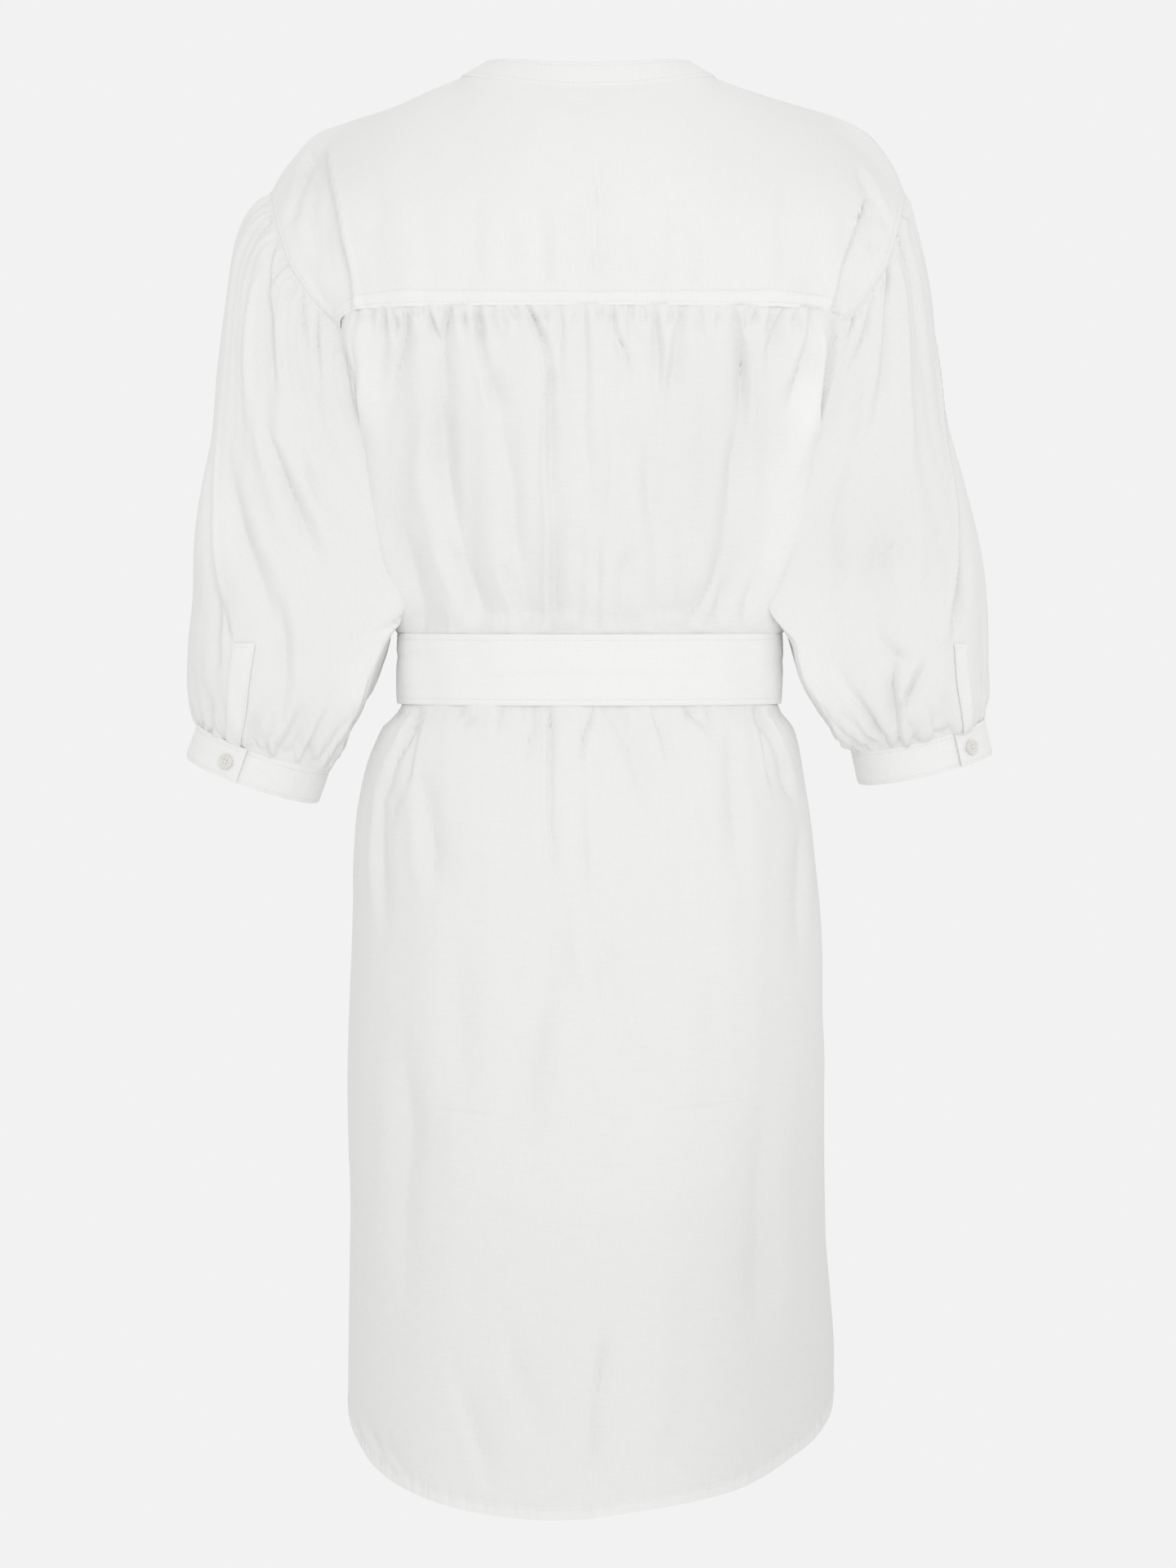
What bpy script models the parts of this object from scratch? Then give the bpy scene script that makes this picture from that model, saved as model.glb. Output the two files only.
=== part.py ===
"""Shirt dress in white cotton, filled out as if worn.

Metres, +Z up. The front faces -Y, the back faces +Y, and the wearer's left is +X.
The origin lies between the shoulders, where the wearer holds the dress up.
Each cut piece is its own closed wall of cloth, a seam's gap away from its neighbours.
"""
import bpy
import bmesh
from collections import namedtuple
from math import asin, cos, degrees, exp, pi, radians, sin, sqrt
from mathutils import Vector

# Cloth and seams
WALL = 0.0015
SEAM_GAP = 0.0003
HALF_GAP = SEAM_GAP / 2

# Heights of the cut lines
SEAM_LEVEL = -0.153
UNDERARM_LEVEL = -0.250
BELT_TOP = -0.3790
BELT_BOTTOM = -0.4305
HIP_LEVEL = -0.500
HEM_FRONT_LIFT = 0.020

# Neck opening and collar band
NECK_HALF_WIDTH = 0.0905
NECK_MIDDLE = -0.005
NECK_BACK = 0.067
NECK_FRONT = 0.086
NECK_SIDE_LEVEL = 0.0215
NECK_BACK_LEVEL = 0.0067
NECK_FRONT_LEVEL = -0.066
BAND_HEIGHT = 0.018
NECK_SHARE = 0.51

# Front placket and buttons
PLACKET_HALF_WIDTH = 0.015
BUTTON_RADIUS = 0.00525
BUTTON_THICKNESS = 0.0022
BUTTON_SIDES = 12
BUTTON_LEVELS = (-0.105, -0.190, -0.275, -0.350, -0.500, -0.590, -0.680, -0.770)

# Cuffs
CUFF_HEIGHT = 0.024
CUFF_DEPTH = 0.0415
CUFF_DIP = 0.0062
CUFF_OVERLAP = 26

# Belt
BELT_STAND_OFF = 0.0026
BELT_DIP = 0.003
BELT_KNOT_GAP = 12
KNOT_HALF = Vector((0.020, 0.010, 0.0235))
KNOT_BACK = 0.0062

# How round the sections are: 2 is an ellipse, more is squarer
BODY_ROUNDNESS = 2.3

BACK = 1
FRONT = -1
LEFT = 1
RIGHT = -1
CUFF_BUTTON_TURN = {LEFT: 66, RIGHT: 47}
TAIL_LENGTH = {LEFT: 0.300, RIGHT: 0.265}
UP = Vector((0, 0, 1))
ACROSS = Vector((1, 0, 0))
DEEP = Vector((0, 1, 0))

# Half widths and depths of the body, from the chest down to the hem
Section = namedtuple("Section", "z left right back front")
SECTIONS = (
    Section(-0.120, 0.1740, 0.1740, 0.122, 0.108),
    Section(-0.153, 0.1740, 0.1740, 0.124, 0.116),
    Section(-0.200, 0.1640, 0.1640, 0.122, 0.124),
    Section(-0.250, 0.1570, 0.1570, 0.117, 0.126),
    Section(-0.300, 0.1520, 0.1530, 0.112, 0.121),
    Section(-0.335, 0.1465, 0.1435, 0.106, 0.114),
    Section(-0.362, 0.1400, 0.1370, 0.099, 0.106),
    Section(-0.379, 0.1329, 0.1353, 0.093, 0.099),
    Section(-0.431, 0.1329, 0.1353, 0.093, 0.099),
    Section(-0.450, 0.1490, 0.1480, 0.102, 0.105),
    Section(-0.478, 0.1600, 0.1545, 0.113, 0.112),
    Section(-0.520, 0.1675, 0.1605, 0.123, 0.117),
    Section(-0.595, 0.1695, 0.1670, 0.131, 0.121),
    Section(-0.700, 0.1730, 0.1695, 0.134, 0.124),
    Section(-0.800, 0.1708, 0.1704, 0.133, 0.125),
    Section(-0.900, 0.1722, 0.1765, 0.131, 0.126),
    Section(-1.001, 0.1700, 0.1750, 0.130, 0.126),
)

# Ridge of the shoulder, from the neck out to the top of the armhole
Ridge = namedtuple("Ridge", "x left right")
RIDGE = (
    Ridge(0.0905, 0.0215, 0.0215),
    Ridge(0.1130, 0.0118, 0.0125),
    Ridge(0.1400, -0.0006, 0.0036),
    Ridge(0.1730, -0.0117, -0.0063),
    Ridge(0.1950, -0.0200, -0.0155),
    Ridge(0.2098, -0.0350, -0.0290),
    Ridge(0.2192, -0.0468, -0.0422),
    Ridge(0.2274, -0.0610, -0.0610),
)

# Shirt-tail hem of the back: height at a share w of the way from the middle to the side seam
Hem = namedtuple("Hem", "w left right")
HEM = (
    Hem(0.00, -0.9995, -0.9995),
    Hem(0.10, -1.0005, -0.9955),
    Hem(0.25, -0.9980, -0.9895),
    Hem(0.40, -0.9920, -0.9815),
    Hem(0.50, -0.9860, -0.9730),
    Hem(0.60, -0.9783, -0.9625),
    Hem(0.70, -0.9680, -0.9535),
    Hem(0.80, -0.9550, -0.9430),
    Hem(0.90, -0.9430, -0.9335),
    Hem(1.00, -0.9310, -0.9170),
)

# Armhole seam: turn is 0 degrees at the shoulder and 180 under the arm
Armhole = namedtuple("Armhole", "turn x y z")
ARMHOLE = (
    Armhole(0, 0.2274, 0.0000, -0.0610),
    Armhole(30, 0.2215, 0.0340, -0.0870),
    Armhole(60, 0.2110, 0.0580, -0.1190),
    Armhole(90, 0.1950, 0.0700, -0.1430),
    Armhole(115, 0.1744, 0.0710, -0.1690),
    Armhole(140, 0.1625, 0.0560, -0.2145),
    Armhole(165, 0.1580, 0.0220, -0.2430),
    Armhole(180, 0.1570, 0.0000, -0.2500),
)
YOKE_TURN = 115
CORNER_TURN = 0.12
SEAM_TURNS = (0, 17, 34, 53, 73, 94, YOKE_TURN, 137, 158, 180)
ARM_AXIS = Vector((0.935, 0, -0.356))
ARM_DOWN = Vector((-0.356, 0, -0.935))

# Sleeves, from the armhole to the cuff: outer and inner point and half depth of each ring
Ring = namedtuple("Ring", "outer_x outer_z inner_x inner_z depth middle")
SLEEVE_RINGS = {
    LEFT: (
        Ring(0.2274, -0.0610, 0.1570, -0.2500, 0.0700, 0.000),
        Ring(0.2440, -0.0775, 0.1588, -0.2560, 0.0690, 0.000),
        Ring(0.2535, -0.1010, 0.1602, -0.2620, 0.0680, 0.000),
        Ring(0.2600, -0.1400, 0.1612, -0.2720, 0.0660, -0.001),
        Ring(0.2650, -0.1850, 0.1608, -0.2840, 0.0650, -0.002),
        Ring(0.2700, -0.2300, 0.1590, -0.2980, 0.0645, -0.003),
        Ring(0.2785, -0.2750, 0.1565, -0.3160, 0.0645, -0.004),
        Ring(0.2825, -0.3150, 0.1530, -0.3370, 0.0650, -0.005),
        Ring(0.2840, -0.3520, 0.1475, -0.3600, 0.0660, -0.006),
        Ring(0.2880, -0.3880, 0.1425, -0.3850, 0.0660, -0.007),
        Ring(0.2890, -0.4120, 0.1490, -0.4050, 0.0650, -0.008),
        Ring(0.2868, -0.4290, 0.1605, -0.4310, 0.0610, -0.008),
        Ring(0.2840, -0.4400, 0.1760, -0.4600, 0.0530, -0.009),
        Ring(0.2809, -0.4448, 0.1874, -0.4777, 0.0415, -0.009),
    ),
    RIGHT: (
        Ring(0.2274, -0.0610, 0.1570, -0.2500, 0.0700, 0.000),
        Ring(0.2330, -0.0790, 0.1588, -0.2560, 0.0690, 0.000),
        Ring(0.2390, -0.1010, 0.1602, -0.2620, 0.0680, 0.000),
        Ring(0.2465, -0.1400, 0.1615, -0.2720, 0.0660, -0.001),
        Ring(0.2525, -0.1850, 0.1615, -0.2840, 0.0650, -0.002),
        Ring(0.2600, -0.2300, 0.1600, -0.2980, 0.0645, -0.003),
        Ring(0.2722, -0.2750, 0.1570, -0.3160, 0.0645, -0.004),
        Ring(0.2820, -0.3150, 0.1490, -0.3370, 0.0650, -0.005),
        Ring(0.2872, -0.3520, 0.1430, -0.3600, 0.0660, -0.006),
        Ring(0.2890, -0.3880, 0.1445, -0.3850, 0.0660, -0.007),
        Ring(0.2897, -0.4120, 0.1505, -0.4100, 0.0650, -0.008),
        Ring(0.2892, -0.4250, 0.1640, -0.4330, 0.0610, -0.008),
        Ring(0.2870, -0.4360, 0.1800, -0.4560, 0.0530, -0.009),
        Ring(0.2840, -0.4415, 0.1905, -0.4635, 0.0415, -0.009),
    ),
}
HEAD_GATHER = 0.0024
HEAD_GATHER_REACH = 75
CUFF_GATHER = 0.0032

# Gathers of the back panel: where each valley meets the yoke and the belt, how deep, how long
Gather = namedtuple("Gather", "seam_x belt_x depth length")
BACK_GATHERS = (
    Gather(0.167, 0.129, 0.0060, 0.150),
    Gather(0.157, 0.122, 0.0030, 0.060),
    Gather(0.148, 0.115, 0.0024, 0.045),
    Gather(0.137, 0.107, 0.0034, 0.090),
    Gather(0.126, 0.098, 0.0038, 0.200),
    Gather(0.115, 0.088, 0.0034, 0.070),
    Gather(0.100, 0.074, 0.0060, 0.260),
    Gather(0.089, 0.062, 0.0026, 0.060),
    Gather(0.078, 0.046, 0.0042, 0.240),
    Gather(0.067, 0.039, 0.0028, 0.070),
    Gather(0.059, 0.034, 0.0024, 0.045),
    Gather(0.051, 0.030, 0.0024, 0.050),
    Gather(0.040, 0.025, 0.0044, 0.260),
    Gather(0.031, 0.018, 0.0022, 0.050),
    Gather(0.020, 0.011, 0.0030, 0.120),
    Gather(0.011, 0.005, 0.0020, 0.040),
    Gather(0.002, -0.001, 0.0032, 0.180),
    Gather(-0.007, -0.007, 0.0020, 0.040),
    Gather(-0.017, -0.013, 0.0028, 0.080),
    Gather(-0.029, -0.022, 0.0034, 0.110),
    Gather(-0.039, -0.030, 0.0022, 0.045),
    Gather(-0.048, -0.038, 0.0038, 0.150),
    Gather(-0.058, -0.046, 0.0022, 0.050),
    Gather(-0.068, -0.054, 0.0036, 0.120),
    Gather(-0.079, -0.063, 0.0026, 0.070),
    Gather(-0.091, -0.071, 0.0024, 0.060),
    Gather(-0.104, -0.080, 0.0048, 0.210),
    Gather(-0.117, -0.090, 0.0036, 0.080),
    Gather(-0.127, -0.098, 0.0028, 0.070),
    Gather(-0.137, -0.107, 0.0036, 0.110),
    Gather(-0.148, -0.116, 0.0026, 0.060),
    Gather(-0.158, -0.123, 0.0036, 0.130),
    Gather(-0.167, -0.130, 0.0046, 0.110),
)
RIDGE_SHARE = 0.4

# Large soft folds: a line across the piece, how wide and how deep the cloth sinks along it
Fold = namedtuple("Fold", "x0 z0 x1 z1 width depth")
YOKE_FOLDS = (
    Fold(-0.014, -0.035, -0.003, -0.150, 0.006, 0.0025),
    Fold(0.128, -0.060, 0.112, -0.150, 0.012, 0.0025),
    Fold(-0.078, -0.050, -0.103, -0.150, 0.010, 0.0025),
)
BACK_FOLDS = (
    Fold(0.096, -0.200, 0.075, -0.378, 0.014, 0.0050),
    Fold(0.048, -0.300, 0.034, -0.378, 0.012, 0.0045),
    Fold(-0.062, -0.260, -0.040, -0.378, 0.014, 0.0030),
    Fold(-0.100, -0.250, -0.086, -0.378, 0.012, 0.0040),
    Fold(0.0245, -0.434, 0.0240, -0.560, 0.006, 0.0035),
    Fold(-0.004, -0.434, 0.003, -0.560, 0.006, 0.0028),
    Fold(0.002, -0.560, -0.024, -0.660, 0.012, 0.0030),
    Fold(0.118, -0.465, 0.104, -0.560, 0.011, 0.0060),
    Fold(-0.108, -0.445, -0.104, -0.560, 0.011, 0.0050),
    Fold(-0.050, -0.434, -0.060, -0.475, 0.008, 0.0030),
    Fold(0.075, -0.434, 0.088, -0.470, 0.008, 0.0030),
    Fold(-0.018, -0.880, -0.006, -0.990, 0.010, 0.0025),
)
FRONT_FOLDS = (
    Fold(0.070, -0.250, 0.052, -0.378, 0.014, 0.0045),
    Fold(0.105, -0.270, 0.088, -0.378, 0.012, 0.0040),
    Fold(0.060, -0.434, 0.075, -0.560, 0.011, 0.0045),
    Fold(0.105, -0.434, 0.112, -0.600, 0.012, 0.0050),
    Fold(-0.066, -0.250, -0.050, -0.378, 0.014, 0.0045),
    Fold(-0.108, -0.270, -0.090, -0.378, 0.012, 0.0040),
    Fold(-0.064, -0.434, -0.078, -0.560, 0.011, 0.0045),
    Fold(-0.108, -0.434, -0.114, -0.600, 0.012, 0.0050),
)

# Long folds of the sleeves: turn and ring where each starts and ends
SleeveFold = namedtuple("SleeveFold", "turn0 ring0 turn1 ring1 width depth")
SLEEVE_FOLDS = {
    LEFT: (
        SleeveFold(50, 0.5, 70, 7.5, 14, 0.0045),
        SleeveFold(85, 0.6, 105, 6.5, 14, 0.0050),
        SleeveFold(30, 6.0, 62, 12.0, 13, 0.0065),
        SleeveFold(12, 5.5, 20, 11.0, 11, 0.0050),
        SleeveFold(120, 1.0, 140, 4.5, 12, 0.0035),
        SleeveFold(300, 0.6, 285, 7.0, 14, 0.0045),
        SleeveFold(330, 6.0, 300, 12.0, 13, 0.0055),
    ),
    RIGHT: (
        SleeveFold(45, 0.4, 60, 7.0, 13, 0.0040),
        SleeveFold(80, 0.6, 95, 5.5, 14, 0.0045),
        SleeveFold(112, 0.8, 125, 5.0, 12, 0.0040),
        SleeveFold(40, 8.5, 75, 12.0, 12, 0.0050),
        SleeveFold(12, 7.0, 20, 12.0, 11, 0.0045),
        SleeveFold(300, 0.6, 285, 7.0, 14, 0.0045),
        SleeveFold(325, 6.0, 300, 12.0, 13, 0.0055),
    ),
}
YOKE_CREASE = 0.885
YOKE_CREASE_DEPTH = 0.007
PLACKET_CLEARANCE = 0.0009
PLACKET_STEPS = {LEFT: (7, 8), RIGHT: (5, 6)}
CUFF_STEPS = 34


def ease(share):
    """Rise softly from 0 to 1 as share does."""
    share = min(max(share, 0.0), 1.0)
    return share * share * (3 - 2 * share)


def mix(a, b, share):
    return a + (b - a) * share


def along(rows, key, field, at):
    """A field's value between the rows of a table, on a smooth curve with no overshoot."""
    knots = sorted((getattr(row, key), getattr(row, field)) for row in rows)
    at = min(max(at, knots[0][0]), knots[-1][0])
    index = 0
    while index < len(knots) - 2 and at > knots[index + 1][0]:
        index += 1

    def slope(place):
        return (knots[place + 1][1] - knots[place][1]) / (knots[place + 1][0] - knots[place][0])

    def bend(place):
        if place == 0 or place == len(knots) - 1:
            return slope(max(place - 1, 0))
        before, after = slope(place - 1), slope(place)
        return 2 * before * after / (before + after) if before * after > 0 else 0.0

    x0, y0 = knots[index]
    x1, y1 = knots[index + 1]
    span = x1 - x0
    t = (at - x0) / span
    rise0, rise1 = bend(index) * span, bend(index + 1) * span
    return (y0 * (2 * t ** 3 - 3 * t * t + 1) + rise0 * (t ** 3 - 2 * t * t + t)
            + y1 * (3 * t * t - 2 * t ** 3) + rise1 * (t ** 3 - t * t))


def sunk(x, z, folds):
    """How far the cloth sinks at a place, by all the folds that pass near it."""
    depth = 0.0
    for fold in folds:
        dx, dz = fold.x1 - fold.x0, fold.z1 - fold.z0
        length = sqrt(dx * dx + dz * dz)
        run = ((x - fold.x0) * dx + (z - fold.z0) * dz) / length
        off = ((x - fold.x0) * dz - (z - fold.z0) * dx) / length
        fade = ease((run + fold.width) / (2 * fold.width))
        fade *= ease((length + fold.width - run) / (3 * fold.width))
        depth += fold.depth * fade * exp(-(off / fold.width) ** 2)
    return depth


def armhole_point(turn, side, face):
    """A point of the armhole seam, which runs straight between its seam turns on both its sides."""
    turn = min(max(turn, 0.0), 180.0)
    index = 0
    while index < len(SEAM_TURNS) - 2 and turn > SEAM_TURNS[index + 1]:
        index += 1
    ends = []
    for knot in SEAM_TURNS[index:index + 2]:
        ends.append(Vector([along(ARMHOLE, "turn", field, knot) for field in "xyz"]))
    share = (turn - SEAM_TURNS[index]) / (SEAM_TURNS[index + 1] - SEAM_TURNS[index])
    x, y, z = mix(ends[0], ends[1], share)
    return Vector((side * x, face * y, z))


def sided(vector, side):
    return Vector((side * vector.x, vector.y, vector.z))


def body_edge(turn, side, face):
    return armhole_point(turn, side, face) - sided(ARM_AXIS, side) * HALF_GAP


def armhole_inward(turn, side, face, underarm):
    """The way the wall thickens at the armhole, the same on both sides of the seam but under the arm."""
    angle = radians(turn)
    way = (sided(ARM_DOWN, side) * max(0.0, cos(angle)) - DEEP * face * sin(angle)
           + sided(underarm, side) * max(0.0, -cos(angle)))
    return way.normalized()


def panel_point(face, w, level):
    """A point of the front or back: w is -1 and 1 at the side seams, level its height in the middle."""
    side = LEFT if w >= 0 else RIGHT
    down = (level - SEAM_LEVEL) / (UNDERARM_LEVEL - SEAM_LEVEL)
    if down <= 1.0001:
        first = YOKE_TURN + (CORNER_TURN if face == BACK else 0)
        edge = body_edge(mix(first, 180, max(down, 0.0)), side, face)
        edge.y = face * max(face * edge.y, HALF_GAP)
    else:
        half = along(SECTIONS, "z", "left" if side == LEFT else "right", level)
        edge = Vector((side * half, face * HALF_GAP, level))
    depth = along(SECTIONS, "z", "back" if face == BACK else "front", level)
    reach = sin(radians(90 * abs(w)))
    curve = max(0.0, 1 - reach ** BODY_ROUNDNESS) ** (1 / BODY_ROUNDNESS)
    x = edge.x * reach
    y = edge.y + (face * depth - edge.y) * curve
    z = level + (edge.z - level) * abs(w) ** 3
    return Vector((x, y, z))


def hem_level(face, w):
    """Height of the shirt-tail hem, which rises to the side seams."""
    level = along(HEM, "w", "left" if w >= 0 else "right", abs(w))
    return level if face == BACK else level + HEM_FRONT_LIFT * (1 - w * w)


def neck_point(turn, side):
    """A point of the neck seam: turn is 0 degrees at the back, 90 at the side, 180 in front."""
    angle = radians(turn)
    x = NECK_HALF_WIDTH * sin(angle)
    if turn <= 90:
        y = NECK_MIDDLE + NECK_BACK * cos(angle)
        z = mix(NECK_BACK_LEVEL, NECK_SIDE_LEVEL, sin(angle) ** 2)
    else:
        y = NECK_MIDDLE + NECK_FRONT * cos(angle)
        z = mix(NECK_SIDE_LEVEL, NECK_FRONT_LEVEL, (-cos(angle)) ** 1.4)
    return Vector((side * x, y, z))


def band_rise(turn, side):
    """The way the collar band stands, leaning in to the neck."""
    angle = radians(turn)
    lean = 0.2 + 0.68 * sin(angle) ** 2 + 0.25 * max(0.0, -cos(angle))
    around = Vector((side * sin(angle), cos(angle), 0))
    return (UP * sqrt(max(0.05, 1 - lean * lean)) - around * lean).normalized()


def top_point(face, u):
    """The top edge of the yoke or a front: round the neck, then out along the shoulder."""
    side = LEFT if u >= 0 else RIGHT
    share = abs(u)
    if share <= NECK_SHARE:
        turn = 90 * share / NECK_SHARE
        corner = DEEP * face * HALF_GAP * (share / NECK_SHARE) ** 4
        return neck_point(turn if face == BACK else 180 - turn, side) + corner
    out = (share - NECK_SHARE) / (1 - NECK_SHARE)
    x = mix(NECK_HALF_WIDTH, ARMHOLE[0].x, out)
    field = "left" if side == LEFT else "right"
    if share > 0.999:
        return body_edge(CORNER_TURN, side, face)
    return Vector((side * x, mix(NECK_MIDDLE, 0, ease(out * 3)) + face * HALF_GAP, along(RIDGE, "x", field, x)))


def chest_point(face, u, v):
    """A point of the cloth over the shoulder and chest: v is 0 at the neck and shoulder, 1 below."""

    def curve(across):
        top = top_point(face, across)
        low = panel_point(face, across, SEAM_LEVEL)
        span = (low - top).length
        on_ridge = ease((abs(across) - NECK_SHARE + 0.15) / 0.3)
        start = Vector((0, face * mix(0.75, 0.95, on_ridge), mix(-0.62, -0.22, on_ridge))) * span * 1.1
        end = Vector((0, 0, -1)) * span * 0.9
        return (top * (2 * v ** 3 - 3 * v * v + 1) + start * (v ** 3 - 2 * v * v + v)
                + low * (3 * v * v - 2 * v ** 3) + end * (v ** 3 - v * v))

    point = curve(u)
    side = LEFT if u >= 0 else RIGHT
    edge_pull = ease((abs(u) - 0.7) / 0.3)
    if edge_pull > 0:
        last = YOKE_TURN - (CORNER_TURN if face == BACK else 0)
        point += (body_edge(mix(CORNER_TURN, last, v), side, face) - curve(side)) * edge_pull
    return point


def way_out(rows, closed):
    """The outward direction at each point of a grid, from its neighbours."""
    count = len(rows[0])
    ways = []
    for i, row in enumerate(rows):
        before, after = rows[max(i - 1, 0)], rows[min(i + 1, len(rows) - 1)]
        line = []
        for j in range(count):
            if closed:
                across = row[(j + 1) % count] - row[j - 1]
            else:
                across = row[min(j + 1, count - 1)] - row[max(j - 1, 0)]
            line.append((after[j] - before[j]).cross(across).normalized())
        ways.append(line)
    return ways


def moved(rows, closed, amount):
    """A grid moved outwards by amount(i, j), which may be negative."""
    ways = way_out(rows, closed)
    return [[point + ways[i][j] * amount(i, j) for j, point in enumerate(row)]
            for i, row in enumerate(rows)]


def without(axis):
    """An edge rule: the wall thickens square to this axis, so that it stays on its side of the seam."""

    def rule(place, inward):
        return (inward - axis * inward.dot(axis)).normalized()

    return rule


def cloth(name, rows, material, closed=False, wall=WALL, edges=None):
    """A closed wall of cloth: the grid is its outside, and edge rules turn the wall at seams."""
    edges = edges or {}
    ways = way_out(rows, closed)
    last_row, last_column = len(rows) - 1, len(rows[0]) - 1
    inner = []
    for i, row in enumerate(rows):
        line = []
        for j, point in enumerate(row):
            inward = -ways[i][j]
            if i == 0 and "top" in edges:
                inward = edges["top"](j, inward)
            if i == last_row and "bottom" in edges:
                inward = edges["bottom"](j, inward)
            if j == 0 and "first" in edges:
                inward = edges["first"](i, inward)
            if j == last_column and "last" in edges:
                inward = edges["last"](i, inward)
            line.append(point + inward * wall)
        inner.append(line)

    mesh = bmesh.new()
    outside = [[mesh.verts.new(point) for point in row] for row in rows]
    inside = [[mesh.verts.new(point) for point in row] for row in inner]
    columns = last_column + 1 if closed else last_column
    for i in range(last_row):
        for j in range(columns):
            k = (j + 1) % (last_column + 1)
            mesh.faces.new((outside[i][j], outside[i + 1][j], outside[i + 1][k], outside[i][k]))
            mesh.faces.new((inside[i][j], inside[i][k], inside[i + 1][k], inside[i + 1][j]))
    for j in range(columns):
        k = (j + 1) % (last_column + 1)
        mesh.faces.new((outside[0][j], outside[0][k], inside[0][k], inside[0][j]))
        mesh.faces.new((outside[-1][j], inside[-1][j], inside[-1][k], outside[-1][k]))
    if not closed:
        for i in range(last_row):
            mesh.faces.new((outside[i][0], inside[i][0], inside[i + 1][0], outside[i + 1][0]))
            mesh.faces.new((outside[i][-1], outside[i + 1][-1], inside[i + 1][-1], inside[i][-1]))
    bmesh.ops.recalc_face_normals(mesh, faces=mesh.faces)
    return finish(name, mesh, material)


def finish(name, mesh, material):
    """Turn a bmesh into the named object, shaded smooth."""
    data = bpy.data.meshes.new(name)
    mesh.to_mesh(data)
    mesh.free()
    piece = bpy.data.objects.new(name, data)
    bpy.context.scene.collection.objects.link(piece)
    data.materials.append(material)
    data.shade_smooth()
    data.set_sharp_from_angle(angle=radians(50))
    return piece


def paint(name, colour, roughness):
    material = bpy.data.materials.new(name)
    material.use_nodes = True
    shader = material.node_tree.nodes["Principled BSDF"]
    shader.inputs["Base Color"].default_value = (*colour, 1)
    shader.inputs["Roughness"].default_value = roughness
    shader.inputs["Metallic"].default_value = 0.0
    return material


SHOULDER_COLUMNS = (NECK_SHARE, 0.60, 0.69, 0.78, 0.84, YOKE_CREASE, 0.93, 1.0)
YOKE_COLUMNS = (0.0, 0.11, 0.22, 0.32, 0.42) + SHOULDER_COLUMNS
FRONT_COLUMNS = (0.0, 0.056, 0.14, 0.23, 0.32, 0.42) + SHOULDER_COLUMNS
CHEST_SHARES = tuple(turn / YOKE_TURN for turn in SEAM_TURNS if turn <= YOKE_TURN)
UNDERARM_ROWS = tuple(mix(SEAM_LEVEL, UNDERARM_LEVEL, (turn - YOKE_TURN) / (180 - YOKE_TURN))
                      for turn in SEAM_TURNS if turn >= YOKE_TURN)
GATHER_ROW = -0.164
LOWER_ROWS = (-0.285, -0.325, -0.358, BELT_TOP, BELT_BOTTOM, -0.447, -0.470, HIP_LEVEL)
SKIRT_SHARES = (0.12, 0.30, 0.52, 0.78, 1.0)


def collar_band(material):
    """The band that stands round the neck, open by a seam's gap in front."""
    behind = [90 * u / NECK_SHARE for u in YOKE_COLUMNS if u <= NECK_SHARE]
    ahead = [180 - 90 * u / NECK_SHARE for u in FRONT_COLUMNS if 0 < u < NECK_SHARE] + [179.7]
    half = sorted(behind + ahead)
    turns = [-turn for turn in reversed(half[1:])] + half
    rows = []
    for share in (1.0, 0.55, 0.0):
        line = []
        for turn in reversed(turns):
            side = LEFT if turn >= 0 else RIGHT
            rise = band_rise(abs(turn), side)
            lift = SEAM_GAP + (BAND_HEIGHT - SEAM_GAP) * share
            line.append(neck_point(abs(turn), side) + rise * lift)
        rows.append(line)

    def level(place, inward):
        return without(UP)(place, inward)

    return cloth("collar_band", rows, material, edges={"top": level, "bottom": level})


def yoke(material):
    """The back yoke, cut in one from armhole to armhole, with the creases where the arms hang."""
    order = list(reversed(YOKE_COLUMNS)) + [-u for u in YOKE_COLUMNS[1:]]
    levels = CHEST_SHARES
    rows = [[chest_point(BACK, u, v) for u in order] for v in levels]
    for j, u in enumerate(order):
        if abs(u) < 0.99:
            rows[-1][j].z += HALF_GAP

    def amount(i, j):
        u, v = order[j], levels[i]
        point = rows[i][j]
        fade = ease(v / 0.15)
        crease = YOKE_CREASE_DEPTH * exp(-((abs(u) - YOKE_CREASE) / 0.035) ** 2) * fade
        return -crease - sunk(point.x, point.z, YOKE_FOLDS) * fade

    sunk_rows = moved(rows, False, amount)
    for row, plain in zip(sunk_rows, rows):
        row[0], row[-1] = plain[0], plain[-1]

    def top(place, inward):
        if abs(order[place]) > NECK_SHARE - 0.001:
            return without(DEEP)(place, inward)
        return inward

    def left(place, inward):
        return armhole_inward(YOKE_TURN * levels[place], LEFT, BACK, ACROSS * -1)

    def right(place, inward):
        return armhole_inward(YOKE_TURN * levels[place], RIGHT, BACK, ACROSS * -1)

    rules = {"top": top, "bottom": without(UP), "first": left, "last": right}
    return cloth("yoke", sunk_rows, material, edges=rules)


def share_of_width(x, half):
    """The column that passes a given x on a section of this half width."""
    return degrees(asin(max(-1.0, min(1.0, x / half)))) / 90


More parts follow.
